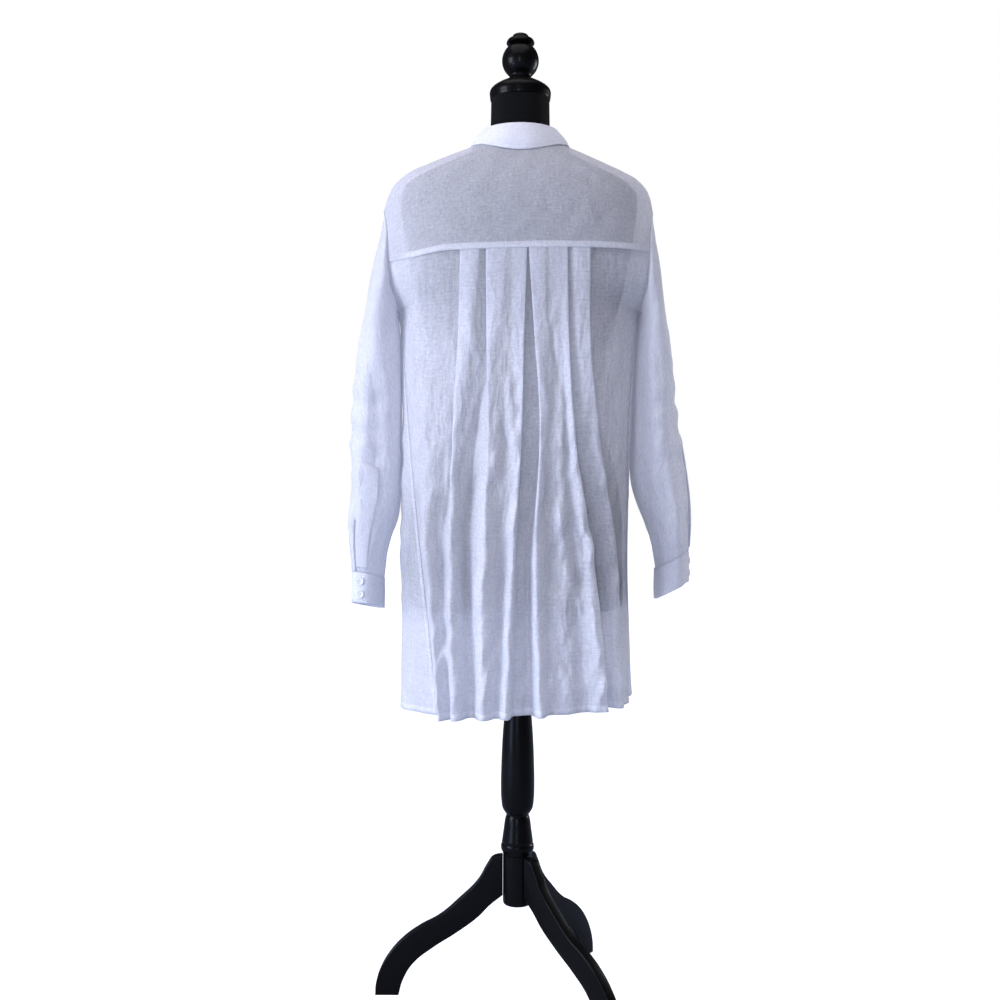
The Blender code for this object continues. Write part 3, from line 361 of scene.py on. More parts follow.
def black_jersey():
    """A matt cotton jersey: fine knitted wales down the form, courses across them, and lint."""
    finish = Finish("black_jersey_cover")
    wale_pitch, course_pitch = 0.0016, 0.0013
    place = finish.add("UVMap", {"uv_map": "Knit"})
    across, up = finish.parts("SeparateXYZ", "XY", {"Vector": place})
    wale = (across * (2 * math.pi / wale_pitch)).maths("SINE")
    course = (up * (2 * math.pi / course_pitch) + wale * 0.8).maths("SINE")
    lint = finish.noise(place, (900.0, 900.0, 1.0), 3.0)
    broad = finish.noise(place, (22.0, 22.0, 1.0), 2.0)
    share = (0.55 * lint + 0.45 * broad).clamped()
    look = {
        "Base Color": finish.colour(share, (0.0016, 0.0016, 0.0018), (0.0050, 0.0050, 0.0055)),
        "Roughness": 0.82 + 0.12 * lint,
        "Normal": finish.bump(0.5 * wale + 0.35 * course + 1.4 * lint, 0.0003, 0.6),
        "Specular IOR Level": 0.12,
        "Sheen Weight": 0.01,
        "Sheen Roughness": 0.5,
    }
    return finish.painted(look)


def new_piece(name, data):
    """A new object in the scene, selected and active."""
    piece = bpy.data.objects.new(name, data)
    bpy.context.collection.objects.link(piece)
    bpy.ops.object.select_all(action="DESELECT")
    piece.select_set(True)
    bpy.context.view_layer.objects.active = piece
    return piece


def padded_torso():
    """The covered form, closed at the neck and over the board at its foot."""
    around, rows = 120, 150
    heights = [FORM[0].z + (FORM[-1].z - FORM[0].z) * i / rows for i in range(rows + 1)]
    rings = [[surface(FORM, 360.0 * j / around, z) for j in range(around)] for z in heights]
    rounding = 0.0015
    foot = [point * (0.97, 0.97, 1.0) for point in rings[0]]
    rings[0] = [point + np.array([0.0, 0.0, rounding]) for point in rings[0]]
    rings.insert(0, foot)
    verts = [tuple(point) for ring in rings for point in ring]
    faces, knit = [], []
    chest = np.array(rings[len(rings) // 3])
    chest_steps = np.linalg.norm(np.roll(chest, -1, axis=0) - chest, axis=1)
    girth = np.concatenate([[0.0], np.cumsum(chest_steps)])
    for i in range(len(rings) - 1):
        for j in range(around):
            k = (j + 1) % around
            faces.append((i * around + j, i * around + k, (i + 1) * around + k, (i + 1) * around + j))
            for row, step in ((i, j), (i, j + 1), (i + 1, j + 1), (i + 1, j)):
                knit.append((girth[step], rings[row][0][2]))
    faces.append(tuple(reversed(range(around))))
    faces.append(tuple(range((len(rings) - 1) * around, len(rings) * around)))
    knit += [(verts[index][0], verts[index][1]) for face in faces[-2:] for index in face]
    mesh = bpy.data.meshes.new("padded_torso")
    mesh.from_pydata(verts, [], faces)
    layer = mesh.uv_layers.new(name="Knit")
    layer.data.foreach_set("uv", np.array(knit, dtype=np.float32).ravel())
    torso = new_piece("padded_torso", mesh)
    bpy.ops.object.shade_smooth_by_angle(angle=math.radians(50))
    torso.data.materials.append(black_jersey())
    return torso


torso = padded_torso()
put_in_place(torso, "form_torso")

# The back yoke: one layer of sheer white linen over both shoulders, from the collar to the pleats.
# The panels below and in front of it are sewn on. The back's edge is pressed up inside it and
# stitched flat, so a bright band shows along that seam.

SEAM = 0.0004  # half the gap between two pieces at a seam
CLOTH = 0.0011  # thickness that a layer of cloth takes up where layers lie on each other
NECK_HALF_WIDTH, NECK_BACK, NECK_FRONT = 0.066, 0.060, 0.078
YOKE_SEAM_Z, YOKE_FORWARD, HEM_Z = 1.170, 112.5, 0.466
ARMHOLE_Z, ARMHOLE_HALF_HEIGHT, ARMHOLE_HALF_ANGLE = 1.170, 0.080, 27.0
ARMHOLE_FRONT_TURN = -32.0  # degrees round the armhole from its top to the yoke's front corner
ARMHOLE_BACK_TURN = {1: 98.8, -1: 87.0}  # to the yoke's back corner, left and right
HALF_WIDTH, HALF_DEPTH, ARMPIT_Z = 0.19, 0.128, 1.090  # of the dressed body
TURN_PER_METRE = 500.0  # degrees of turn that a metre along the surface spans at the armholes
YOKE_TILT, HEM_TILT = -0.025, -0.060  # slopes of the seam and the hem towards the left
SHOULDER_BEND = 1.12  # power that makes the shoulder fall later than it turns
FINER = 2  # steps of the drawn cloth for each step of the pattern
BODY = millimetres(
    Section,
    (440, 190, 189, 132, 144), (550, 188.5, 181, 130, 144), (700, 188.5, 174.5, 128, 143),
    (900, 187, 180, 124, 143), (1040, 188, 186, 121, 142), (1090, 194, 193, 119, 140),
    (1130, 217, 213, 118, 137), (1170, 226, 220, 116, 131), (1210, 222, 217, 113, 121),
    (1250, 216, 211, 107, 106), (1280, 206, 203, 99, 92), (1298, 192, 186, 92, 82),
    (1310, 172, 162, 86, 74), (1325, 135, 129, 77, 62), (1338, 103, 100, 67, 50), (1347, 80, 80, 58, 40),
    (1354, 62, 62, 49, 28),
)


def blend(a, b, t):
    return a + (b - a) * t


def ease(t):
    t = min(max(t, 0.0), 1.0)
    return t * t * (3 - 2 * t)


def spread(start, stop, count):
    return [start + (stop - start) * i / count for i in range(count + 1)]


def body(turn, z, out=0.0):
    """The garment's middle surface, moved out along its own normal."""
    here = surface(BODY, turn, z)
    if out == 0.0:
        return here
    around = surface(BODY, turn + 0.5, z) - surface(BODY, turn - 0.5, z)
    up = surface(BODY, turn, z + 0.001) - surface(BODY, turn, z - 0.001)
    normal = np.cross(up, around)
    return here + normal * out / np.linalg.norm(normal)


def turn_of(x, y, z):
    across, along = radii(BODY, z, x >= 0, y >= 0)
    half = BODY_POWER / 2
    turn = math.atan2(signed_power(x / across, half), signed_power(y / along, half))
    return math.degrees(turn)


def height_at(x, y):
    """The height of the shoulder surface over a point of the plan."""
    low, high = ARMPIT_Z, BODY[-1].z
    for _ in range(40):
        middle = (low + high) / 2
        across, along = radii(BODY, middle, x >= 0, y >= 0)
        inside = abs(x / across) ** BODY_POWER + abs(y / along) ** BODY_POWER < 1
        low, high = (middle, high) if inside else (low, middle)
    return low


def neck_place(turn):
    """Turn and height on the body of a point of the neck seam."""
    sine, cosine = sine_cosine(turn)
    x, y = NECK_HALF_WIDTH * sine, (NECK_BACK if cosine > 0 else NECK_FRONT) * cosine
    z = height_at(x, y)
    return np.array([turn_of(x, y, z), z])


def armhole_place(side, turn, inside=0.0):
    """Turn and height on the body of a point of an armhole, from its top towards the back."""
    sine, cosine = sine_cosine(turn)
    around = 90.0 - (ARMHOLE_HALF_ANGLE - TURN_PER_METRE * inside) * sine
    z = ARMHOLE_Z + (ARMHOLE_HALF_HEIGHT - inside) * cosine
    return np.array([side * around, z])


def yoke_turns(side):
    return spread(ARMHOLE_FRONT_TURN, ARMHOLE_BACK_TURN[side], 9 * FINER)


def back_turns(side):
    return spread(ARMHOLE_BACK_TURN[side], 180.0, 5 * FINER)


def front_turns():
    return spread(ARMHOLE_FRONT_TURN, -180.0, 6 * FINER)


def yoke_seam_height(x):
    """The seam falls a little to the wearer's left, and more near the left armhole."""
    return YOKE_SEAM_Z + YOKE_TILT * x - 0.007 * ease((x - 0.11) / 0.07)


def yoke_rows():
    """The yoke's grid: rows from the neck seam down to the armholes and the pleats."""
    columns = 20 * FINER
    halves = []
    for side in (1, -1):
        turns = yoke_turns(side)
        outer = [armhole_place(side, turn) for turn in turns]
        corner = outer[-1][0]
        for t in spread(0.0, 1.0, columns - len(turns) + 1)[1:]:
            turn = blend(corner, 0.0, t)
            z = YOKE_SEAM_Z
            for _ in range(3):
                z = yoke_seam_height(surface(BODY, turn, z)[0])
            outer.append(np.array([turn, z]))
        inner = [neck_place(side * turn) for turn in spread(YOKE_FORWARD, 0.0, columns)]
        halves.append(list(zip(inner, outer)))
    columns = halves[0] + halves[1][-2::-1]
    rows = []
    for t in spread(0.0, 1.0, 7 * FINER):
        rows.append([body(blend(a[0], b[0], t), blend(a[1], b[1], t**SHOULDER_BEND)) for a, b in columns])
    return rows


def press_in(piece, outward, press):
    """Moves each point of a sheet along outward, by what press makes of its place in space and its
    distances from the sheet's left, top, right and bottom edges."""
    count = len(piece.data.vertices)
    co = np.empty(count * 3, np.float64)
    piece.data.vertices.foreach_get("co", co)
    co = co.reshape(-1, 3)
    place = np.zeros((count, 4))
    corner_vertex = np.empty(len(piece.data.loops), np.int64)
    piece.data.loops.foreach_get("vertex_index", corner_vertex)
    for index, layer in enumerate(("Cloth", "Rim")):
        uv = np.empty(len(corner_vertex) * 2, np.float64)
        piece.data.uv_layers[layer].data.foreach_get("uv", uv)
        place[corner_vertex, 2 * index : 2 * index + 2] = uv.reshape(-1, 2)
    co += outward(co) * press(co, place)[:, None]
    piece.data.vertices.foreach_set("co", co.ravel())
    piece.data.update()


def sheet_of(name, rows, finish, outward, press=None, slit_from=None, wall=0.0004):
    """A thin sheet of cloth through rows of points. Its UV map Cloth measures it in metres from its
    left and top edges, and Rim from its right and bottom edges. It is smoothed, its creases are
    pressed in along outward, and it gets its wall. Air keeps how far it hangs from the form. It is
    a tube where slit_from is given, open from that row down."""
    grid, ring = np.array(rows), slit_from is not None
    down, across = grid.shape[:2]
    wrapped = np.concatenate([grid, grid[:, :1]], axis=1) if ring else grid
    steps = np.linalg.norm(np.diff(wrapped, axis=1), axis=2)
    u = np.concatenate([[0.0], np.cumsum(np.median(steps, axis=0))])
    drops = np.linalg.norm(np.diff(wrapped, axis=0), axis=2)
    v = np.concatenate([np.zeros((1, wrapped.shape[1])), np.cumsum(drops, axis=0)])
    faces, cloth, rim = [], [], []
    for i in range(down - 1):
        for j in range(across if ring else across - 1):
            k = (j + 1) % across
            if k == 0 and i >= slit_from:
                continue
            faces.append((i * across + j, (i + 1) * across + j, (i + 1) * across + k, i * across + k))
            for row, place in ((i, j), (i + 1, j), (i + 1, j + 1), (i, j + 1)):
                cloth.append((u[place], v[row, place]))
                rim.append((u[-1] - u[place], v[-1, place] - v[row, place]))
    mesh = bpy.data.meshes.new(name)
    mesh.from_pydata([tuple(point) for point in grid.reshape(-1, 3)], [], faces)
    for layer, values in (("Cloth", cloth), ("Rim", rim)):
        mesh.uv_layers.new(name=layer).data.foreach_set("uv", np.array(values, np.float32).ravel())
    middle = np.array([point.normal for point in mesh.polygons])
    centres = np.array([point.center for point in mesh.polygons])
    if (middle * outward(centres)).sum() < 0:
        mesh.flip_normals()
    piece = new_piece(name, mesh)
    shape(piece, "SUBSURF", levels=2, render_levels=2, boundary_smooth="PRESERVE_CORNERS")
    if press is not None:
        press_in(piece, outward, press)
    gaps = [(torso.closest_point_on_mesh(point.co)[1] - point.co).length for point in piece.data.vertices]
    piece.data.attributes.new("Air", "FLOAT", "POINT").data.foreach_set("value", gaps)
    shape(piece, "SOLIDIFY", thickness=wall, offset=0.0)
    bpy.ops.object.shade_smooth()
    piece.data.materials.append(finish)
    return piece


def faded(distance, width):
    """A share that grows from 0 to 1 over a width."""
    return np.clip(distance / width, 0, 1)


def unit(away):
    return away / np.maximum(np.linalg.norm(away, axis=1), 1e-9)[:, None]


def from_the_body(co):
    """Directions square to the body, away from it."""
    half_size = np.array([HALF_WIDTH, HALF_DEPTH])
    shares = co[:, :2] / half_size
    away = np.zeros_like(co)
    away[:, :2] = np.sign(shares) * np.abs(shares) ** (BODY_POWER - 1) / half_size
    return unit(away)


Crease = namedtuple("Crease", "x z x_end z_end width depth")


def pressed(co, creases):
    """How far creases lift or sink the cloth, each a soft line between two places, uneven along it."""
    total = np.zeros(len(co))
    for number, crease in enumerate(creases):
        start = np.array([crease.x, crease.z])
        run = np.array([crease.x_end, crease.z_end]) - start
        length = np.linalg.norm(run)
        offset = co[:, (0, 2)] - start
        t = np.clip(offset @ run / length**2, 0.0, 1.0)
        wander = 0.18 * length * np.sin(t * 5.0 + number) * t * (1 - t)
        side = np.array([-run[1], run[0]]) / length
        away = offset @ side - wander
        beyond = np.abs(offset @ run / length - np.clip(offset @ run / length, 0, length))
        taper = np.sin(math.pi * np.clip(t * 0.9 + 0.05, 0, 1)) ** 0.7
        strength = taper * (1 + 0.35 * np.sin(t * 9.0 + 2.3 * number))
        distance = np.hypot(away, beyond) / crease.width
        total += crease.depth * strength * np.exp(-(distance**1.6))
    return total


def crumple(co, axes, seed, scale, depth):
    """Small uneven buckles in unpressed linen, from crossing waves that wander."""
    rng = np.random.default_rng(seed)
    a, b = co[:, axes[0]], co[:, axes[1]]
    total = np.zeros(len(co))
    for _ in range(14):
        angle = rng.normal(0.0, 0.55)
        length = scale * rng.uniform(0.5, 1.7)
        run = a * math.cos(angle) + b * math.sin(angle)
        drift = b * math.cos(angle) - a * math.sin(angle)
        bend = 0.5 * np.sin(drift / (scale * 2.2) + rng.uniform(0, 6.3))
        wave = np.sin(2 * math.pi * run / length + 1.7 * bend + rng.uniform(0, 6.3))
        gate = np.sin(drift / (scale * rng.uniform(0.7, 2.4)) + rng.uniform(0, 6.3))
        total += np.sign(wave) * np.abs(wave) ** 1.3 * np.clip(gate, 0, 1) ** 2
    return total * depth / 3.0


def linen(
    name, layers=1.0, cover=0.44, hung=0.67, crinkle=1.0, seam_top=0.0, hem=0.0, right=0.0,
    stitched=(), reach=1.0, straight=False,
):
    """Sheer plain-weave linen with uneven threads. Each wall hides the share cover of what it lies
    on, and the share hung of what is farther away; crinkle is how unpressed it is. Each edge may
    have a band of that many metres where its turned or pressed edge adds layers, as far from the
    middle as reach; stitched lists the bands' stitch lines. straight keeps the threads level and
    upright across a piece that is shaped. Light that bounces and shadows meet a plainer cloth."""
    warp_pitch, weft_pitch, stitch_pitch, pucker_pitch = 0.00078, 0.00084, 0.0029, 0.0061
    let_through = 0.38
    finish = Finish(name)
    cloth = finish.add("UVMap", {"uv_map": "Cloth"})
    u, v = finish.parts("SeparateXYZ", "XY", {"Vector": cloth})
    rim = finish.add("UVMap", {"uv_map": "Rim"})
    to_right, to_hem = finish.parts("SeparateXYZ", "XY", {"Vector": rim})
    edges = {"top": (v, u), "hem": (to_hem, u), "left": (u, v), "right": (to_right, v)}
    flat = finish.add("TexCoord", output="Object")
    x, y, z = finish.parts("SeparateXYZ", "XYZ", {"Vector": flat})
    weave, weave_u, weave_v = cloth, u, v
    if straight:
        weave_u, weave_v = x, z - y
        weave = finish.add("CombineXYZ", inputs={"X": weave_u, "Y": weave_v})
    thick_warp = finish.noise(weave, (1050.0, 52.0, 1.0), 1.0, 0.6)
    thick_weft = finish.noise(weave, (48.0, 1050.0, 1.0), 1.0, 0.6)
    slub_warp = finish.noise(weave, (430.0, 34.0, 1.0), 2.0, 0.65)
    slub_weft = finish.noise(weave, (30.0, 430.0, 1.0), 2.0, 0.65)
    mottle = finish.noise(weave, (210.0, 230.0, 1.0), 3.0, 0.75)
    warp = abs((weave_u * (math.pi / warp_pitch) + thick_weft * 1.6).maths("SINE"))
    weft = abs((weave_v * (math.pi / weft_pitch) + thick_warp * 1.6).maths("SINE"))
    hole = (1 - warp) * (1 - weft)
    threads = thick_warp + thick_weft + 0.8 * slub_warp + 0.7 * slub_weft + 2.3 * mottle
    air = finish.add("Attribute", {"attribute_name": "Air"}, output="Fac")
    # In the lower middle of the back the cloth is taken as held off the form by its folds, and it is made
    # more opaque there too: painted light that lifts the shade in the deep middle fold.
    held_off_and_painted_light = (4.0 - 4.0 * z).clamped(0.8) * (2.6 - 26.0 * abs(x)).clamped()
    apart = (air * 40.0 - 0.40).clamped().maths("MAXIMUM", held_off_and_painted_light)
    single = apart * (hung - cover) + held_off_and_painted_light * 0.12 + cover + 0.14 * (threads - 2.90) - 0.20 * hole
    single = finish.add("Clamp", inputs={"Value": single, "Min": 0.06, "Max": 0.95})

    count, ridge, lines = layers, 0.0, None
    for edge, width, extra in (("top", seam_top, 2.2), ("hem", hem, 1.6), ("right", right, 0.5)):
        if not width:
            continue
        waver = (finish.noise(cloth, (60.0, 60.0, 1.0), 1.0) - 0.5) * 0.0012
        band = ((width + waver - edges[edge][0]) * 2200.0 + 0.5).clamped()
        if edge == "hem" and reach < 1.0:
            band = band * ((reach - abs(x)) * 50.0).clamped()
        count = band * extra + count
        ridge = band * 0.00035 + ridge
    for edge, at in stitched:
        distance, along = edges[edge]
        off = abs(distance - at)
        stitch = (1 - off * 1500.0).clamped()
        stitch = stitch * (along * (1 / stitch_pitch)).maths("FRACT").maths("LESS_THAN", 0.74)
        dip = (1 - off * 420.0).clamped()
        ripple = (along * (2 * math.pi / pucker_pitch) + 6.0 * mottle).maths("SINE")
        ridge = stitch * 0.00045 - dip * 0.00055 + ripple * dip * 0.00022 + ridge
        lines = stitch if lines is None else lines.maths("MAXIMUM", stitch)
    cover_all = 1 - (1 - single) ** count
    if lines is not None:
        cover_all = cover_all.maths("MAXIMUM", lines * 0.96)

    buckle = finish.noise(flat, (52.0, 52.0, 24.0), 3.0, 0.62)
    fine = finish.noise(flat, (190.0, 190.0, 95.0), 2.0, 0.6)
    sharp = abs(finish.noise(flat, (38.0, 38.0, 12.0), 2.0, 0.52) - 0.5)
    worn = (3.6 - 3.0 * z).clamped()
    height = (buckle * 0.0026 - sharp * 0.0080) * (crinkle * (0.35 + 0.65 * worn)) + fine * 0.0006
    height = height + (slub_warp + slub_weft) * 0.00030 + (warp + weft) * 0.00010 + ridge
    bump = finish.bump(height, 1.0, 0.75)
    share = (threads - 2.4).clamped(0.9)
    colour = finish.colour(share, (0.80, 0.81, 0.845), (0.905, 0.91, 0.925))
    look = {
        "Base Color": colour,
        "Roughness": 0.88 - 0.10 * share,
        "Normal": bump,
        "Sheen Weight": 0.12,
        "Sheen Roughness": 0.4,
        "Specular IOR Level": 0.25,
    }

    def mixed(share, first, second):
        return finish.add("MixShader", inputs={0: share, 1: first, 2: second})

    thread = finish.add("BsdfPrincipled", inputs=look)
    glow = finish.add("BsdfTranslucent", inputs={"Color": colour, "Normal": bump})
    clear = finish.add("BsdfTransparent")
    seen = mixed(cover_all, clear, mixed(let_through, thread, glow))
    even = {"Color": (0.84, 0.855, 0.90, 1.0)}
    matt, lit_through = (finish.add(kind, inputs=even) for kind in ("BsdfDiffuse", "BsdfTranslucent"))
    plain = mixed(let_through, matt, lit_through)
    unseen = mixed(1 - (1 - (cover + hung) / 2) ** layers, clear, plain)
    bounced, shadow = finish.parts("LightPath", ("Is Diffuse Ray", "Is Shadow Ray"))
    return finish.surface(mixed(shadow, mixed(bounced, seen, unseen), unseen))


def yoke_press(co, place):
    """The yoke lies smooth, with faint drag lines towards the armholes and neck."""
    inside = faded(place.min(axis=1), 0.02)
    drags = millimetres(
        Crease,
        (45, 1325, 150, 1262, 9, 1.1), (70, 1300, 185, 1232, 11, -1), (-50, 1322, -160, 1250, 10, 1.2),
        (-80, 1295, -190, 1215, 10, -1.1), (-20, 1300, -60, 1195, 8, -0.6), (10, 1290, 28, 1190, 10, 0.6),
        (-100, 1270, -118, 1185, 7, 0.8),
    )
    back = faded(co[:, 1], 0.02)
    return inside * (back * pressed(co, drags) + crumple(co, (0, 2), 3, 0.050, 0.0007))


yoke_hem = {"hem": 0.0098, "stitched": (("hem", 0.0080),), "reach": 0.187}
yoke_finish = linen("sheer_linen_yoke", hung=0.54, crinkle=0.45, straight=True, **yoke_hem)
yoke = sheet_of("linen_yoke", yoke_rows(), yoke_finish, from_the_body, yoke_press)
put_in_place(yoke, "back_yoke")

# The back: one wide panel of the same linen. Its top is folded into two knife pleats on each side
# and an inverted pleat in the middle, which open into long soft folds down to a narrow turned hem.

Level = namedtuple("Level", "z ridge root facing radius spread")
LEVELS = (
    Level(0.455, 0.024, -0.016, 90, 0.0075, 58),
    Level(0.700, 0.019, -0.013, 84, 0.0060, 62),
    Level(0.900, 0.008, -0.009, 40, 0.0030, 80),
    Level(1.040, 0.002, -0.006, 14, 0.0016, 88),
    Level(1.170, -0.0014, -0.0040, 0, 0.0013, 90),
)
Fold = namedtuple("Fold", "kind side weight hem hip waist chest yoke")
FOLDS = tuple(
    Fold(kind, side, weight, *(place / 1000 for place in places))
    for kind, side, weight, *places in (
        ("soft", 0, 0.9, 112, 130, 142, 148, 150), ("root", +1, 0.0, 103, 115, 95, 74, 62),
        ("ridge", -1, 0.9, 92, 99, 100, 94, 92), ("root", +1, 1.0, 74, 80, 65, 34, 22),
        ("ridge", -1, 1.0, 52, 53, 48, 51.5, 53), ("soft", 0, -0.2, 34, 26, 22, 18, 11),
        ("ridge", +1, 0.9, 20, 11, -3, -6, -10), ("root", -1, 1.0, 6, 1, 7, 14, 15),
        ("root", +1, 1.0, -14, -11, -37, -37, -36), ("ridge", -1, 0.9, -31, -23, -28.5, -20, -11.5),
        ("soft", 0, -0.4, -44, -45, -44, -38, -28), ("soft", 0, 0.6, -72, -64, -58, -52, -48),
        ("soft", 0, -0.2, -96, -82, -68, -62, -59), ("ridge", +1, 1.0, -122, -101, -80, -73, -71),
        ("root", -1, 0.9, -136, -118, -69, -50, -41), ("ridge", +1, 0.6, -149, -138.5, -116, -105, -106),
        ("root", -1, 0.2, -158, -150, -108, -86, -79),
    )
)
Edge = namedtuple("Edge", "z left right")
BACK_EDGE = millimetres(
    Edge,
    (455, 121, 170), (560, 133, 171), (700, 150, 169), (900, 172, 170), (1040, 185, 183),
    (1090, 192.5, 191.5),
)


def fold_chain(level_index):
    """The back's cross-section at one of the five heights, as (across, out) pairs."""
    level = LEVELS[level_index]
    field = ("hem", "hip", "waist", "chest", "yoke")[level_index]
    chain = []
    for fold in FOLDS:
        x = getattr(fold, field)
        if fold.kind == "soft":
            chain.append([(x, fold.weight * (level.ridge if level.ridge > 0.003 else 0.0))])
            continue
        proud = fold.kind == "ridge"
        opened = ease(level.facing / 90)
        depth = (level.ridge if proud else level.root) * blend(1.0, fold.weight, opened)
        side = 0.0 if fold.side > 0 else 180.0
        square = 90.0 if proud else (-90.0 if fold.side > 0 else 270.0)
        angle = math.radians(blend(side, square, level.facing / 90))
        half = math.radians(level.spread)
        turns = (half, 0.0, -half) if proud else (-half, 0.0, half)
        radius = level.radius * blend(1.0, 0.4 + 0.6 * min(fold.weight, 1.0), opened)
        centre = (-x - radius * math.cos(angle), depth - radius * math.sin(angle))
        bend = [(radius * math.cos(angle + t), radius * math.sin(angle + t)) for t in turns]
        chain.append([(-centre[0] - across, centre[1] + out) for across, out in bend])
    return chain


# Places in FOLDS of the knife pleats' parts
LEFT_ROOTS, LEFT_RIDGES, RIGHT_RIDGES, RIGHT_ROOTS = (1, 3), (2, 4), (13, 15), (14, 16)


def midway(a, b):
    return ((a[0] + b[0]) / 2, (a[1] + b[1]) / 2)


def with_bridges(chain):
    """The chain with points between the folded pleats, so that their layers stay apart."""
    reach, turned = 0.0045, 0.0012
    points = [*chain[0]]
    for i in range(1, len(chain)):
        before, after = points[-1], chain[i][0]
        middle = midway(before, after)
        if i in LEFT_ROOTS:
            edge = chain[i + 1][1][0]
            points.append((edge + reach, after[1]) if edge > chain[i][1][0] else middle)
        if i - 1 in RIGHT_ROOTS:
            edge = chain[i - 2][1][0]
            points.append((edge - reach, before[1]) if edge < chain[i - 1][1][0] else middle)
        if i in RIGHT_RIDGES:
            root = chain[i + 1][1][0]
            over = points[-1][0] > root + turned > after[0]
            points.append((root + turned, after[1]) if over else midway(points[-1], after))
        points.extend(chain[i])
        if i in LEFT_RIDGES:
            root, edge = chain[i - 1][1][0], chain[i][1][0]
            last = chain[i][2]
            points.append((root - turned, last[1]) if root < edge else midway(last, chain[i + 1][0]))
    edge, root = chain[RIGHT_RIDGES[1]][1][0], chain[RIGHT_ROOTS[1]][1][0]
    last = points[-1]
    beyond = (last[0] - turned, last[1] * 0.8)
    points.append((edge - reach, last[1]) if edge < root else beyond)
    return points


def side_seam(side, z):
    name = "left" if side > 0 else "right"
    return min(column(BACK_EDGE, name, z), column(BODY, name, z) - 0.0002)


def hem_tilt(z):
    """How the rows slope across the back, from the yoke seam to the hem."""
    return blend(YOKE_TILT, HEM_TILT, ease((YOKE_SEAM_Z - z) / (YOKE_SEAM_Z - HEM_Z)))


def back_point(x, z, out):
    """A point of the back from its distance from the centre, moved out square to the body."""
    across, along = radii(BODY, z, x >= 0, True)
    share = min(abs(x) / across, 1.0)
    y = along * (1 - share**BODY_POWER) ** (1 / BODY_POWER)
    slope = signed_power(x / across, BODY_POWER - 1) / across
    normal = np.array([slope, (y / along) ** (BODY_POWER - 1) / along, 0.0])
    return np.array([x, y, z]) + normal * out / np.linalg.norm(normal)


def level_curve(values):
    heights = [level.z for level in LEVELS]
    tangents = tangents_of(heights, values)
    return lambda z: smooth_read(heights, values, tangents, z)


def back_heights():
    upper = len(back_turns(1)) - 1
    first = [YOKE_SEAM_Z - 2 * SEAM - ARMHOLE_HALF_HEIGHT * i / upper for i in range(upper)]
    return first + spread(YOKE_SEAM_Z - ARMHOLE_HALF_HEIGHT, HEM_Z, 12 * FINER)


TUCK, TUCKED_UNDER = 0.0035, 0.0011  # the back's top edge runs up inside the yoke's pressed edge


def back_rows():
    """The back's grid: rows from the pleats at the yoke down to the hem."""
    sections = [with_bridges(fold_chain(k)) for k in range(len(LEVELS))]
    count = len(sections[0])
    across = [level_curve([s[j][0] for s in sections]) for j in range(count)]
    outward = [level_curve([s[j][1] for s in sections]) for j in range(count)]
    rows = []
    for i, z in enumerate(back_heights()):
        ends = {}
        for side in (1, -1):
            turns = back_turns(side)
            if i < len(turns):
                turn, height = armhole_place(side, turns[i])
                ends[side] = body(turn, height + TUCK * (i == 0), -TUCKED_UNDER * (i == 0))
            else:
                height = z + hem_tilt(z) * side * HALF_WIDTH
                ends[side] = back_point(side * side_seam(side, height), height, 0.0)
        line = [ends[1]]
        places = [(ends[1][0] + across[0](z)) / 2, *[x(z) for x in across]]
        places.append((ends[-1][0] + across[-1](z)) / 2)
        outs = [outward[0](z) * 0.6, *[d(z) for d in outward], outward[-1](z) * 0.6]
        for x, out in zip(places, outs):
            side = 1 if x > 0 else -1
            level = z + hem_tilt(z) * x
            if i == 0:
                level = yoke_seam_height(x) + TUCK
                out = min(out, -TUCKED_UNDER)
            share = ease((abs(x) - 0.09) / (abs(ends[side][0]) - 0.09))
            end_level = ends[side][2] + hem_tilt(z) * (x - ends[side][0])
            if 0 < i < len(back_turns(1)):
                level = blend(level, end_level, share)
            line.append(back_point(x, level, out))
        line.append(ends[-1])
        rows.append(line)
    return rows


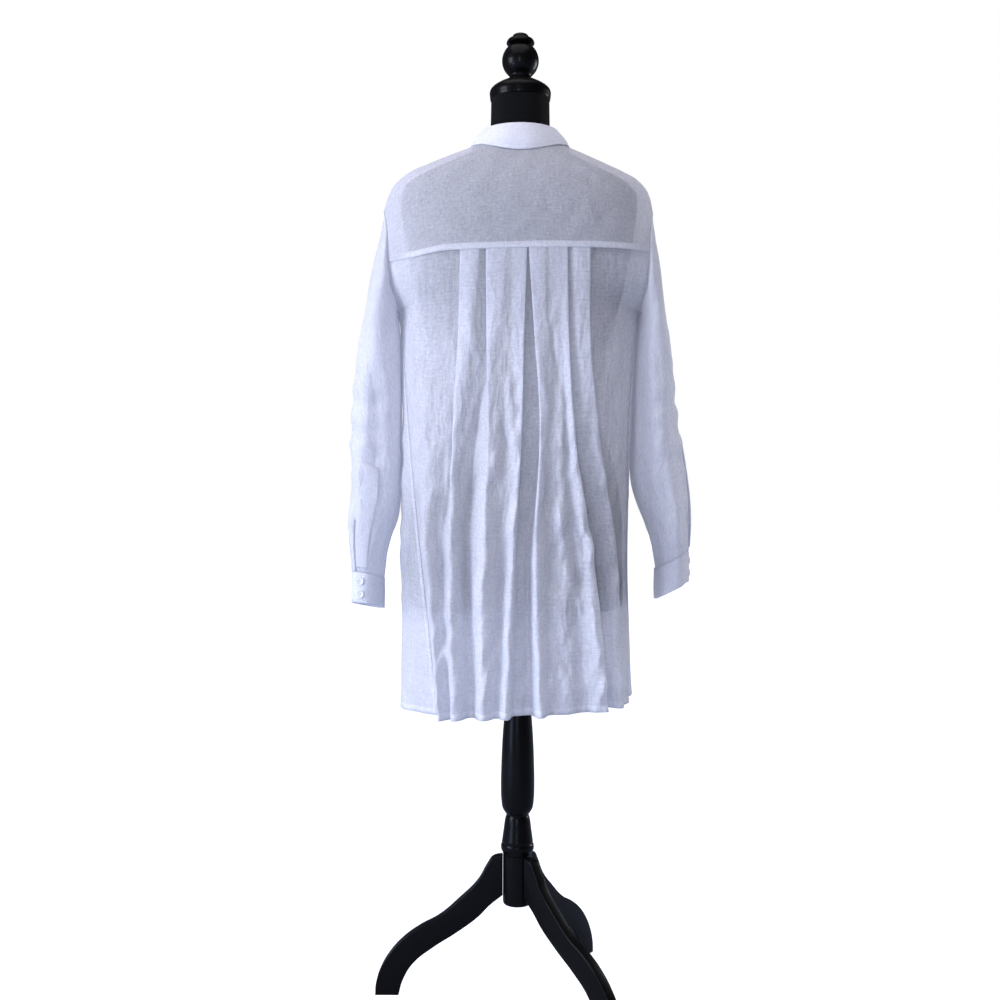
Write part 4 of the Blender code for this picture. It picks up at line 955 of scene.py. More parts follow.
BACK_CREASES = millimetres(
    Crease,
    (150, 1130, 152, 900, 10, 1.8), (128, 1140, 122, 930, 7, -1.2), (168, 1060, 160, 800, 8, -1.5),
    (112, 1060, 104, 860, 6, 1.3), (140, 900, 131, 640, 9, 2.8), (120, 860, 112, 660, 6, -2),
    (160, 830, 154, 640, 6, -1.6), (71, 1120, 66, 930, 5, 1.6), (60, 940, 74, 780, 6, -2.2),
    (40, 1100, 34, 960, 5, -1.2), (22, 985, 12, 925, 5, 3), (17, 945, 5, 870, 5, 3.4),
    (26, 930, 17, 850, 4, -2.6), (34, 900, 26, 740, 7, 2.6), (46, 800, 62, 640, 8, 2.8),
    (90, 760, 98, 560, 8, -2.6), (74, 700, 70, 520, 7, 2.6), (102, 640, 112, 500, 8, 2),
    (20, 720, 30, 520, 8, -2.4), (6, 800, -4, 620, 6, 2.6), (-30, 1020, -38, 880, 6, 2.2),
    (-48, 1060, -52, 900, 5, -1.8), (-58, 960, -66, 860, 5, 2.4), (-90, 960, -98, 830, 5, 2.6),
    (-84, 880, -104, 800, 4, -2.4), (-112, 1080, -116, 900, 6, 1.6), (-134, 1100, -138, 880, 7, -1.6),
    (-148, 1060, -150, 860, 6, 1.4), (-38, 860, -30, 740, 5, -2.8), (-50, 800, -72, 700, 6, 3.2),
    (-60, 740, -44, 660, 5, -2.8), (-88, 790, -110, 700, 5, 3), (-104, 760, -90, 660, 5, -2.6),
    (-70, 690, -94, 600, 6, 3.4), (-40, 680, -56, 590, 6, 3), (-84, 630, -64, 540, 5, -2.8),
    (-104, 640, -120, 560, 5, 2.8), (-52, 580, -74, 500, 6, 3), (-120, 700, -134, 600, 5, -2.4),
    (-138, 780, -146, 640, 6, 2.2), (-150, 720, -158, 560, 6, -2), (50, 618, 14, 600, 5, 1.2),
    (110, 600, 70, 588, 5, -1.2), (-46, 640, -88, 652, 4, 1.3), (-100, 560, -140, 548, 4, -1.3),
)


def back_press(co, place):
    """Long soft creases set one by one, deeper towards the hem, with small buckles between them."""
    edge = faded(np.minimum(place[:, 0], place[:, 2]), 0.03)
    top = faded(YOKE_SEAM_Z - 0.02 - co[:, 2], 0.10)
    low = faded(1.10 - co[:, 2], 0.35)
    buckles = crumple(co, (0, 2), 11, 0.036, 0.0018) + crumple(co, (2, 0), 12, 0.060, 0.0009)
    return edge * top * ((1.3 + 0.6 * low) * pressed(co, BACK_CREASES) + (0.25 + 1.25 * low) * buckles)


back_finish = linen("sheer_linen_back", crinkle=2.5, hem=0.0110, stitched=(("hem", 0.0095),))
back = sheet_of("linen_back", back_rows(), back_finish, from_the_body, back_press)
put_in_place(back, "back_panel")

# The two fronts: cut from the same linen, sewn to the yoke at the shoulders and to the back down
# the sides. They hang from the bust in soft folds, and their hem is a little higher than the back's.

BAND_HALF_WIDTH = 0.0129
RISE_FROM_Z, HEM_RISE = 0.630, 0.010  # where the side seam's turn towards a higher hem begins


def beside(side, place, gap):
    """A place moved towards the front along the surface by a seam's gap."""
    turn, z = place
    step = np.linalg.norm(surface(BODY, side * (turn + 0.5), z) - surface(BODY, side * (turn - 0.5), z))
    return np.array([turn + gap / step, z])


def front_outline(side):
    """The front's boundary places: its top from the centre, and its side down to the hem."""
    mirror = np.array([side, 1.0])
    neck_corner = neck_place(side * YOKE_FORWARD) * mirror
    arm_corner = armhole_place(1, ARMHOLE_FRONT_TURN)
    turns = spread(180.0, YOKE_FORWARD, 6 * FINER)[:-1]
    top = [neck_place(side * turn) * mirror for turn in turns]
    for t in spread(0.0, 1.0, 7 * FINER):
        fall = t**SHOULDER_BEND
        place = (blend(neck_corner[0], arm_corner[0], t), blend(neck_corner[1], arm_corner[1], fall))
        top.append(beside(side, place, 2 * SEAM))
    edge = [armhole_place(1, turn) for turn in front_turns()]
    edge[-1] = beside(side, edge[-1], 1.6 * SEAM)
    for z in back_heights()[len(back_turns(side)) :]:
        rise = HEM_RISE * ease((RISE_FROM_Z - z) / (RISE_FROM_Z - HEM_Z))
        height = z + hem_tilt(z) * side * HALF_WIDTH + rise
        x, y, _ = back_point(side * side_seam(side, height), height, 0.0)
        place = np.array([abs(turn_of(x, max(y, 1e-5), height)), height])
        edge.append(beside(side, place, 1.6 * SEAM))
    return top, edge


def arc_shares(points):
    lengths = np.cumsum([0.0] + [np.linalg.norm(b - a) for a, b in zip(points, points[1:])])
    return lengths / lengths[-1]


def front_folds(side, s, t, x):
    """Soft hanging folds: none at the band and seams, only inward beside the sleeve."""
    clear = ease((s - 0.12) / 0.12) * ease((1.0 - s) / 0.12)
    beside_sleeve = ease((abs(x) - 0.12) / 0.04)
    phase = 0.7 if side > 0 else 2.1
    wave = math.sin(2 * math.pi * 2.6 * s + phase + 0.5 * t)
    depth = blend(0.010, 0.003, beside_sleeve)
    return clear * ease((t - 0.18) / 0.75) * (depth * (wave - beside_sleeve) + 0.004 * (1 - beside_sleeve))


@cache
def front_rows(side):
    """A front's grid: rows from the neck and shoulder to the hem, from its centre to its side."""
    top_places, edge_places = front_outline(side)
    top = [body(side * turn, z) for turn, z in top_places]
    top[0] = top[0] + np.array([side * SEAM, 0.0, 0.0])
    edge = [body(side * turn, z) for turn, z in edge_places]
    edge[0] = top[-1]
    last = len(top) - 1
    shares, drops = arc_shares(top), arc_shares(edge)
    rows = [top]
    under = len(front_turns()) - 1
    chest_z = ARMHOLE_Z - ARMHOLE_HALF_HEIGHT - 0.030
    centre_line = spread(top[0][2], chest_z, under)
    centre_line += spread(chest_z, HEM_Z, len(edge) - 1 - under)[1:]
    for t, end, end_place, centre_z in list(zip(drops, edge, edge_places, centre_line))[1:]:
        turns = spread(180.0, end_place[0], 24)
        even = arc_shares([surface(BODY, side * turn, (centre_z + end_place[1]) / 2) for turn in turns])
        row = []
        for k, s in enumerate(shares):
            rise = top[k][2] - blend(top[0][2], top[-1][2], s)
            z = blend(centre_z, end_place[1], s) + rise * (1 - t) ** 5
            turn = blend(top_places[k][0], float(np.interp(s, even, turns)), min(t / 0.12, 1.0))
            point = surface(BODY, side * turn, z)
            if k <= FINER:
                x = side * blend(SEAM, BAND_HALF_WIDTH, k / FINER)
                turn = abs(turn_of(x, -radii(BODY, z, side > 0, False)[1], z))
            fold = front_folds(side, s, t, point[0])
            row.append(end if k == last else body(side * turn, z, fold))
        rows.append(row)
    return rows


FRONT_CREASES = millimetres(
    Crease,
    (60, 1200, 110, 1060, 9, 2.2), (90, 1090, 80, 860, 10, -2.6), (120, 1000, 110, 760, 10, 2.8),
    (50, 930, 46, 650, 9, 2.8), (75, 760, 90, 520, 9, -2.8), (130, 700, 136, 500, 9, 2.2),
    (40, 660, 34, 490, 8, -2), (-55, 1210, -105, 1050, 9, 2.2), (-85, 1060, -78, 840, 10, -2.6),
    (-118, 980, -104, 740, 10, 2.8), (-48, 900, -52, 620, 9, 2.8), (-80, 740, -94, 510, 9, -2.8),
    (-128, 690, -138, 500, 9, 2.2), (-38, 640, -32, 480, 8, -2), (150, 560, 110, 548, 5, 1.2),
    (-150, 590, -112, 600, 5, -1.2),
)


def front_press(co, place):
    middle = np.minimum(place[:, 0], place[:, 2])
    inside = faded(np.minimum(middle, place[:, 1]) - 0.015, 0.02)
    turned_back = faded(0.03 - co[:, 1], 0.03)
    buckles = crumple(co, (0, 2), 21, 0.042, 0.0026)
    creased = pressed(co, FRONT_CREASES)
    return inside * (turned_back * np.where(creased > 0, 3.2, 2.1) * creased + buckles)


front_finish = linen("sheer_linen_front", crinkle=1.8, hem=0.0100, right=0.0060, stitched=(("hem", 0.0085),))
for name, side in (("left", 1), ("right", -1)):
    piece = sheet_of(f"linen_front_{name}", front_rows(side), front_finish, from_the_body, front_press)
    put_in_place(piece, f"front_{name}")

# The button band: a folded strip of the same linen down the middle of the front, stitched along
# both edges. It lies on the two fronts, and its hem is turned up with theirs.

LIFT = CLOTH + 0.0006  # from a panel to a band that lies on it, middle to middle


def band_rows():
    left, right = front_rows(1), front_rows(-1)
    rows = []
    for a, b in zip(left, right):
        middle = blend(a[0], b[0], 0.5)
        edges = [point + np.array([0.0, -LIFT, 0.0]) for point in (a[FINER], middle, b[FINER])]
        rows.append([blend(edges[0], edges[1], t) for t in spread(0.0, 1.0, 3)])
        rows[-1] += [blend(edges[1], edges[2], t) for t in spread(0.0, 1.0, 3)[1:]]
    rows[0] = [blend(a, b, 0.12) for a, b in zip(rows[0], rows[1])]
    return rows


def band_press(co, place):
    inside = faded(np.minimum(place[:, 0], place[:, 2]), 0.004)
    return inside * 0.0003 * np.sin(co[:, 2] * 2 * math.pi / 0.031 + 3 * np.sin(co[:, 2] * 21.0))


band_stitches = (("left", 0.0020), ("right", 0.0020))
band_finish = linen("linen_band", layers=2.6, crinkle=0.35, cover=0.60, stitched=band_stitches, hem=0.010)
band = sheet_of("linen_button_band", band_rows(), band_finish, from_the_body, band_press, wall=0.0009)
put_in_place(band, "button_placket")

# The sleeves: long and straight, each cut in one piece from the same linen. They hang from dropped
# armholes, whose seam edges are pressed towards the sleeve. A folded band is stitched over the slit
# that opens each of them at the cuff.

Tube = namedtuple("Tube", "z outer_left inner_left outer_right inner_right back front")
SLEEVE = millimetres(
    Tube,
    (600, 264, 218, 270, 222, 34, -44), (677, 268, 216, 270, 220.5, 38, -46),
    (726, 273, 208, 272.5, 212, 44, -48), (758, 275.5, 196, 273.5, 201, 48, -50),
    (790, 270, 186, 272, 187, 51, -52), (838, 270, 183, 266, 176, 54, -54),
    (918, 268, 182, 253, 179, 57, -57), (1030, 255, 185, 241.5, 184, 61, -60),
    (1090, 245, 195.5, 231, 194.5, 64, -62), (1166, 233, 195.5, 222, 194.5, 64, -62),
    (1214, 223.5, 195.5, 217, 194.5, 60, -60), (1250, 216, 195.5, 211, 194.5, 55, -56),
)
Wave = namedtuple("Wave", "count depth shift rise")
SLEEVE_WAVES = (Wave(3, 0.050, 1.1, 5.0), Wave(5, 0.035, -2.0, -9.0))
Cuff = namedtuple("Cuff", "side z tilt_out tilt_back slit_turn")
CUFFS = {
    "left": Cuff(1, 0.6690, 0.004, 0.006, 64.0),
    "right": Cuff(-1, 0.6950, 0.014, 0.003, -20.0),
}
AROUND = 351.0  # degrees of the sleeve's cloth from one side of the slit to the other
BAND_AROUND = 2.2 * AROUND / 19  # degrees of the sleeve that the slit's band covers
SLIT_LENGTH, BAND_FROM = 0.066, 0.74  # the open slit, and the share of the sleeve above its band
ELBOW_Z = 0.90
ARM_X, PUFF_X = 0.232, 0.235  # upright axes that creases and fullness go out from
SLEEVE_SHARES = (0.0, 0.03, 0.08, 0.14, 0.21, 0.29, 0.38, 0.47, 0.56, 0.65, 0.74, 0.82, 0.88, 0.94, 1.0)


def sleeve_ring(side, turn, z):
    """A point of the hanging sleeve's tube, kept clear of the body beside it."""
    outer = column(SLEEVE, "outer_left" if side > 0 else "outer_right", z)
    inner = column(SLEEVE, "inner_left" if side > 0 else "inner_right", z)
    back_side, front_side = column(SLEEVE, "back", z), column(SLEEVE, "front", z)
    angle = math.radians(turn)
    folds = ease((1.12 - z) / 0.2) * ease((z - 0.60) / 0.10)
    waves = [w.depth * math.sin(w.count * angle + w.shift * side + w.rise * z) for w in SLEEVE_WAVES]
    scale = 1 + folds * sum(waves)
    x = (outer + inner) / 2 + (outer - inner) / 2 * math.cos(angle) * scale
    y = (back_side + front_side) / 2 + (back_side - front_side) / 2 * math.sin(angle) * scale
    x = min(x, outer)
    across, along = radii(BODY, z, side > 0, y >= 0)
    room = CLOTH + 3 * SEAM
    if z < ARMHOLE_Z - ARMHOLE_HALF_HEIGHT + 0.01 and abs(y) < along:
        share = abs(y) / (along + room)
        x = max(x, (across + room) * (1 - share**BODY_POWER) ** (1 / BODY_POWER))
    return np.array([side * x, y, z])


def sleeve_turns(cuff):
    """Pairs of turns of the sleeve's columns, at the armhole and at the cuff, from the slit round."""
    loop = [*front_turns()[::-1][:-1], *yoke_turns(cuff.side), *back_turns(cuff.side)[1:-1]]
    first = next(i for i, turn in enumerate(loop) if turn >= cuff.slit_turn - 12.0)
    loop = loop[first:] + [turn + 360.0 for turn in loop[:first]]
    return list(zip(loop, spread(cuff.slit_turn, cuff.slit_turn + AROUND, len(loop) - 1)))


def cuff_top(cuff, turn):
    sine, cosine = sine_cosine(turn)
    return cuff.z + cuff.tilt_out * cosine + cuff.tilt_back * sine


def sleeve_point(cuff, turns, share, out=0.0):
    """A point of a sleeve from the armhole, share 0, to the cuff seam, share 1."""
    side = cuff.side
    turn = blend(turns[0], turns[1], ease((share - 0.10) / 0.50))
    low = ease((1 - math.cos(math.radians(turns[0]))) / 2)
    place = armhole_place(side, turns[0], 0.5 * CLOTH + SEAM)
    start = body(place[0], place[1]) + np.array([side * (SEAM + 1.2 * CLOTH * low), 0.0, 0.0])
    z = blend(start[2], cuff_top(cuff, turn) + 0.5 * SEAM, share**1.3)
    ring = sleeve_ring(side, turn, z)
    centre = np.array([side * PUFF_X, 0.0, z])
    away = (ring - centre) / np.linalg.norm((ring - centre)[:2])
    weight = min(share / 0.24, 1.0) ** 0.6
    puff = 0.006 * math.sin(math.pi * weight) * abs(math.sin(math.radians(turn)))
    point = blend(np.array([start[0], start[1], z]), ring, weight)
    return point + away * (out + puff)


def finer_shares(first=0.0):
    shares = [s for s in SLEEVE_SHARES if s >= first]
    between = [blend(a, b, t) for a, b in zip(shares, shares[1:]) for t in spread(0.0, 1.0, FINER)[:-1]]
    return between + [1.0]


SLEEVE_CREASES = {
    1: millimetres(
        Crease,
        (252, 1090, 246, 930, 8, 2.4), (236, 1060, 228, 900, 7, -2), (214, 1030, 206, 880, 7, 2.2),
        (262, 960, 244, 880, 6, -2.6), (258, 920, 226, 860, 6, 2.6), (250, 870, 236, 740, 7, 3),
        (222, 880, 216, 770, 6, -2.4), (204, 900, 200, 800, 6, 1.8), (264, 840, 258, 730, 6, -2.2),
        (238, 780, 246, 690, 6, -2.6), (228, 760, 230, 690, 5, 2.2), (258, 1010, 230, 975, 5, 1.4),
    ),
    -1: millimetres(
        Crease,
        (-236, 1080, -240, 940, 8, 2.2), (-216, 1060, -212, 920, 7, -2.2),
        (-202, 1010, -204, 900, 6, 1.8), (-244, 980, -226, 890, 6, -2.6), (-236, 930, -212, 860, 6, 2.8),
        (-248, 900, -258, 780, 7, 2.6), (-226, 880, -232, 760, 6, -2.6), (-206, 860, -216, 760, 6, 2.2),
        (-240, 820, -246, 720, 6, 2.6), (-262, 800, -264, 720, 6, -2), (-224, 770, -236, 715, 5, 2),
    ),
}


def from_axis(x, y):
    """Gives level directions away from an upright axis."""
    return lambda co: unit((co - np.array([x, y, 0.0])) * np.array([1.0, 1.0, 0.0]))


for name, cuff in CUFFS.items():
    from_the_arm = from_axis(cuff.side * ARM_X, -0.002)

    def sleeve_press(co, place, cuff=cuff):
        inside = faded(np.minimum(place[:, 1], place[:, 3]), 0.03)
        clear = faded(cuff.side * co[:, 0] - 0.200, 0.012)
        faces = 0.6 + 0.4 * np.sign(co[:, 1])
        long_creases = pressed(co, SLEEVE_CREASES[cuff.side])
        elbow = np.exp(-(((co[:, 2] - ELBOW_Z) / 0.10) ** 2))
        bends = 0.0016 * elbow * np.sin(co[:, 2] * 2 * math.pi / 0.047 + 26 * co[:, 1] + 14 * co[:, 0])
        buckles = crumple(co, (1, 2), 31 + cuff.side, 0.034, 0.0016)
        return inside * clear * (faces * long_creases + bends + buckles)

    turns = sleeve_turns(cuff)
    shares = finer_shares()
    length = ARMHOLE_Z - cuff.z
    slit_from = next(i for i, s in enumerate(shares) if (1 - s) * length <= SLIT_LENGTH)
    rows = [[sleeve_point(cuff, pair, share) for pair in turns] for share in shares]
    finish = linen(f"sheer_linen_sleeve_{name}", crinkle=1.7, seam_top=0.0075, stitched=(("top", 0.0060),))
    piece = sheet_of(f"linen_sleeve_{name}", rows, finish, from_the_arm, sleeve_press, slit_from=slit_from)
    put_in_place(piece, f"sleeve_{name}")

    turns = [turn for turn in turns if turn[1] <= cuff.slit_turn + BAND_AROUND]
    shares = [s for s in finer_shares(BAND_FROM) if s < 1.0] + [0.99]
    rows = [[sleeve_point(cuff, pair, share, LIFT) for pair in turns] for share in shares]
    stitches = (("left", 0.0018), ("right", 0.0018), ("top", 0.0022))
    finish = linen(f"linen_sleeve_band_{name}", layers=2.4, crinkle=0.4, cover=0.58, stitched=stitches)
    piece = sheet_of(f"linen_sleeve_band_{name}", rows, finish, from_the_arm, wall=0.0008)
    put_in_place(piece, f"sleeve_placket_{name}")

# The cuffs: straight bands of linen over a light interlining, lapped at the slit and topstitched
# all round.

CUFF_HEIGHT = 0.048
WRIST_X, LAP = 0.2425, 0.0013  # the cuffs' middles, and how far their lapped ends stand out or in


def cuff_point(cuff, turn, drop, out):
    ring = sleeve_ring(cuff.side, turn, cuff.z)
    away = np.array([ring[0] - cuff.side * WRIST_X, ring[1], 0.0])
    place = ring + away / np.linalg.norm(away) * out
    place[2] = cuff_top(cuff, turn) - drop
    return place


def cuff_press(co, place):
    inside = np.clip(np.minimum(place[:, 1], place[:, 3]) / 0.010, 0.15, 1)
    return inside * crumple(co, (1, 2), 47, 0.030, 0.0007)


cuff_stitches = (("top", 0.0030), ("hem", 0.0045), ("left", 0.0030), ("right", 0.0030))
cuff_finish = linen("linen_cuff", layers=3.2, crinkle=0.5, cover=0.60, stitched=cuff_stitches)
for name, cuff in CUFFS.items():
    from_the_wrist = from_axis(cuff.side * WRIST_X, -0.003)
    around, lap = 22 * FINER, 2 * FINER
    rows = []
    for drop in spread(SEAM, CUFF_HEIGHT, 6):
        row = []
        for j in range(around + lap + 1):
            over = ease((lap + lap - j) / lap)
            under = ease((j - around + lap) / lap)
            turn = cuff.slit_turn - 3.0 + 360.0 * j / around
            row.append(cuff_point(cuff, turn, drop, LAP * (over - under)))
        rows.append(row)
    piece = sheet_of(f"linen_cuff_{name}", rows, cuff_finish, from_the_wrist, cuff_press, wall=0.0013)
    put_in_place(piece, f"cuff_{name}")

# The collar: a stand sewn round the neck and lapped in front, and a turned-down fall with two
# pointed ends, both of interlined linen, topstitched near the edge.

COLLAR_FOLD_Z, STAND_FRONT_Z = 1.3735, 1.338  # the stand's top at the back, and at the centre front
COLLAR_END = 166.0  # degrees from the centre back to the collar's front edges
COLLAR_HALF_WIDTH, COLLAR_BACK = 0.0790, 0.0750  # of the fall's free edge


def stand_point(turn, share, out=0.0):
    """A point of the collar stand from the neck seam, share 0, to its top edge, share 1."""
    sine, cosine = sine_cosine(turn)
    place = neck_place(turn)
    base = body(place[0], place[1])
    along = NECK_BACK if cosine > 0 else NECK_FRONT
    inward = 0.008 * share
    lap = 0.0022 * max(0.0, -cosine) * (1 - share)
    x = (NECK_HALF_WIDTH - inward + out) * sine
    y = (along - inward + out + lap) * cosine
    back_top = max(COLLAR_FOLD_Z, base[2] + 0.012)
    top = back_top if cosine > 0 else blend(COLLAR_FOLD_Z, STAND_FRONT_Z, cosine * cosine)
    z = blend(base[2] + SEAM + CLOTH - 1.5 * min(out, 0.0), top, share) - 1.3 * lap
    return np.array([x, y, z])


# The fall's free edge in front, where z is the share of the way from the side to the pointed end
CollarEdge = namedtuple("CollarEdge", "z across forward height")
COLLAR_FRONT = (
    CollarEdge(0.00, COLLAR_HALF_WIDTH, 0.000, 1.3530),
    CollarEdge(0.30, 0.0810, 0.032, 1.3360),
    CollarEdge(0.55, 0.0765, 0.060, 1.3100),
    CollarEdge(0.80, 0.0655, 0.086, 1.2820),
    CollarEdge(1.00, 0.0520, 0.108, 1.2560),
)


def collar_low(turn):
    """The collar's free edge: level round the back, running down to its points in front."""
    sine, cosine = sine_cosine(turn)
    if cosine >= 0:
        x, y = COLLAR_HALF_WIDTH * signed_power(sine, 0.92), COLLAR_BACK * abs(cosine) ** 0.92
        z = 0.0
    else:
        share = (abs(turn) - 90.0) / (COLLAR_END - 90.0)
        x = math.copysign(column(COLLAR_FRONT, "across", share), sine)
        y = -column(COLLAR_FRONT, "forward", share)
        z = column(COLLAR_FRONT, "height", share)
    return np.array([x, y, max(z, height_at(x, y) + 0.0017)])


def collar_point(turn, share):
    top = stand_point(turn, 1.0)
    sine, cosine = sine_cosine(turn)
    outward = np.array([sine, cosine, 0.0])
    rise = 0.0016
    inner_edge = top + np.array([0.0, 0.0, rise])
    crown = top + outward * 0.0024 + np.array([0.0, 0.0, rise + 0.0022])
    shoulder = top + outward * 0.0054 + np.array([0.0, 0.0, rise - 0.0020])
    if share < 0.15:
        return blend(inner_edge, crown, share / 0.15)
    if share < 0.30:
        return blend(crown, shoulder, (share - 0.15) / 0.15)
    t = (share - 0.30) / 0.70
    bow = 0.0030 * math.sin(math.pi * t) * (1 - 0.5 * abs(sine))
    return blend(shoulder, collar_low(turn), t) + outward * bow


from_the_neck = from_axis(0.0, 0.0)
stand_rows = []
around = 34 * FINER
for share in spread(0.0, 1.0, 4):
    row = []
    for j in range(around + FINER + 1):
        over = ease((j - around + 2 * FINER) / (2 * FINER))
        under = ease((3 * FINER - j) / (2 * FINER))
        row.append(stand_point(-180.0 + 360.0 * j / around, share, CLOTH * (over - under)))
    stand_rows.append(row)
stand_stitches = (("top", 0.003), ("hem", 0.002))
stand_finish = linen("linen_collar_stand", layers=2.6, crinkle=0.35, cover=0.60, stitched=stand_stitches)
collar_stand = sheet_of("linen_collar_stand", stand_rows, stand_finish, from_the_neck, wall=0.0009)
put_in_place(collar_stand, "collar_stand")


def collar_press(co, place):
    free = faded(place[:, 1] - 0.006, 0.012)
    long_wave = 0.0007 * np.sin(np.arctan2(co[:, 0], co[:, 1]) * 5.0 + 0.8)
    return free * (long_wave + crumple(co, (0, 2), 53, 0.034, 0.0005))


fall_rows = []
for share in (0.0, 0.05, 0.10, 0.15, 0.20, 0.25, 0.30, 0.41, 0.52, 0.64, 0.76, 0.88, 1.0):
    fall_rows.append([collar_point(turn, share) for turn in spread(-COLLAR_END, COLLAR_END, 32 * FINER)])
collar_stitches = (("hem", 0.0055), ("left", 0.0055), ("right", 0.0055))
collar_finish = linen("linen_collar", layers=3.4, crinkle=0.3, cover=0.60, stitched=collar_stitches)
collar = sheet_of("linen_collar_fall", fall_rows, collar_finish, from_the_neck, collar_press, wall=0.0013)
put_in_place(collar, "collar")

# The buttons: 11 mm, white and glossy, with a rim, a dished face and four holes, each sewn on with
# crossed white thread. Five close the front, one the collar stand and two each cuff.

BUTTON_RADIUS, HOLE_AT = 0.0056, 0.00125
TOP_BUTTON_Z, BUTTON_STEP = 1.262, 0.118
BUTTON_OUT, CUFF_BUTTON_OUT = 0.0018, 0.0021  # from the middle of the cloth to the button's
STAND_END_OUT = 0.0016  # how far the stand's overlapping end lies out
CUFF_BUTTON_TURN, CUFF_BUTTON_DROPS = 13.4, (0.014, 0.034)  # degrees from the slit, and below the top


def white_button():
    """Cast white resin with a faint swirl, polished."""
    finish = Finish("white_button")
    swirl = finish.noise(finish.add("TexCoord", output="Object"), (260.0, 190.0, 240.0), 3.0, 0.6)
    look = {
        "Base Color": finish.colour(swirl, (0.56, 0.58, 0.63), (0.72, 0.74, 0.78)),
        "Roughness": 0.18 + 0.12 * swirl,
        "Coat Weight": 0.3,
        "Coat Roughness": 0.08,
    }
    return finish.painted(look)


def white_thread():
    finish = Finish("white_thread")
    twist = finish.noise(finish.add("TexCoord", output="Object"), (2600.0, 2600.0, 2600.0), 2.0)
    look = {
        "Base Color": finish.colour(twist, (0.76, 0.78, 0.83), (0.92, 0.93, 0.95)),
        "Roughness": 0.8,
        "Normal": finish.bump(twist, 0.0002, 0.6),
    }
    return finish.painted(look)


def model_button():
    """One button lying flat, its face up, from a disc: rimmed, dished and pierced."""
    bpy.ops.object.select_all(action="DESELECT")
    bpy.ops.mesh.primitive_cylinder_add(vertices=40, radius=BUTTON_RADIUS, depth=0.0020)
    disc = bpy.context.object
    bpy.ops.object.mode_set(mode="EDIT")
    bpy.ops.mesh.select_all(action="DESELECT")
    bpy.ops.object.mode_set(mode="OBJECT")
    for face in disc.data.polygons:
        face.select = face.normal.z > 0.9
    bpy.ops.object.mode_set(mode="EDIT")
    bpy.ops.mesh.inset(thickness=0.0009)
    bpy.ops.mesh.inset(thickness=0.0007, depth=-0.0006)
    bpy.ops.object.mode_set(mode="OBJECT")
    for x, y in ((1, 1), (1, -1), (-1, 1), (-1, -1)):
        bpy.ops.object.select_all(action="DESELECT")
        place = (HOLE_AT * x, HOLE_AT * y, 0.0)
        bpy.ops.mesh.primitive_cylinder_add(vertices=16, radius=0.00062, depth=0.01, location=place)
        drill = bpy.context.object
        bpy.context.view_layer.objects.active = disc
        disc.select_set(True)
        shape(disc, "BOOLEAN", operation="DIFFERENCE", solver="EXACT", object=drill)
        bpy.data.objects.remove(drill, do_unlink=True)
    rounding = {"width": 0.00025, "segments": 3, "limit_method": "ANGLE", "angle_limit": math.radians(35)}
    shape(disc, "BEVEL", **rounding)
    bpy.ops.object.shade_smooth_by_angle(angle=math.radians(40))
    disc.data.materials.append(white_button())
    return disc


def model_thread():
    """The crossed thread that holds a button, through its four holes."""
    strands = []
    for sign, height in ((1, 0.00062), (-1, 0.00090)):
        strand = drawn_line("strand", [(HOLE_AT * a, HOLE_AT * a * sign, "round") for a in (-1, 0, 1)], False)
        for knot, up in zip(strand.data.splines[0].bezier_points, (-0.0006, height, -0.0006)):
            knot.co[2] = up
        strand.data.resolution_u = 6
        strand.data.bevel_depth = 0.00030
        strand.data.bevel_resolution = 2
        strand.data.use_fill_caps = True
        bpy.ops.object.convert(target="MESH")
        strands.append(strand)
    bpy.ops.object.select_all(action="DESELECT")
    for strand in strands:
        strand.select_set(True)
    bpy.context.view_layer.objects.active = strands[0]
    bpy.ops.object.join()
    bpy.ops.object.shade_smooth()
    cover_with(strands[0], white_thread())
    return strands[0]


def sew_on(name, place, facing, pattern, replaced):
    """Puts a copy of a flat-lying pattern where it is sewn, turned to face away from the cloth."""
    copy = new_piece(name, pattern.data.copy())
    copy.rotation_euler = (0.0, math.acos(facing[2]), math.atan2(facing[1], facing[0]))
    copy.location = place
    bpy.ops.object.transform_apply(location=True, rotation=True, scale=True)
    put_in_place(copy, replaced)


def square_to(down):
    """The direction out of the front, square to a line down it."""
    return np.array([0.0, down[2], -down[1]]) / np.linalg.norm(down)


button_pattern, thread_pattern = model_button(), model_thread()
sewn = []
front_line = [blend(a[0], b[0], 0.5) for a, b in zip(front_rows(1), front_rows(-1))]
for i in range(5):
    z = TOP_BUTTON_Z - BUTTON_STEP * i
    k = next(n for n in range(len(front_line) - 1) if front_line[n + 1][2] <= z)
    above, below = front_line[k], front_line[k + 1]
    place = blend(above, below, (above[2] - z) / (above[2] - below[2]))
    facing = square_to(below - above)
    sewn.append((f"front_button_{i + 1}", place + np.array([0.0, -LIFT, 0.0]) + facing * BUTTON_OUT, facing))
base, top = stand_point(180.0, 0.0, STAND_END_OUT), stand_point(180.0, 1.0, STAND_END_OUT)
facing = np.array([0.0, base[2] - top[2], top[1] - base[1]])
facing /= np.linalg.norm(facing)
sewn.append(("stand_button", blend(base, top, 0.5) + facing * BUTTON_OUT, facing))
for name, cuff in CUFFS.items():
    for i, drop in enumerate(CUFF_BUTTON_DROPS):
        turn = cuff.slit_turn + CUFF_BUTTON_TURN
        run = cuff_point(cuff, turn + 3, drop, LAP) - cuff_point(cuff, turn - 3, drop, LAP)
        facing = np.cross(run, np.array([0.0, 0.0, cuff.side]))
        facing /= np.linalg.norm(facing)
        place = cuff_point(cuff, turn, drop, LAP) + facing * CUFF_BUTTON_OUT
        sewn.append((f"cuff_button_{name}_{i + 1}", place, facing))
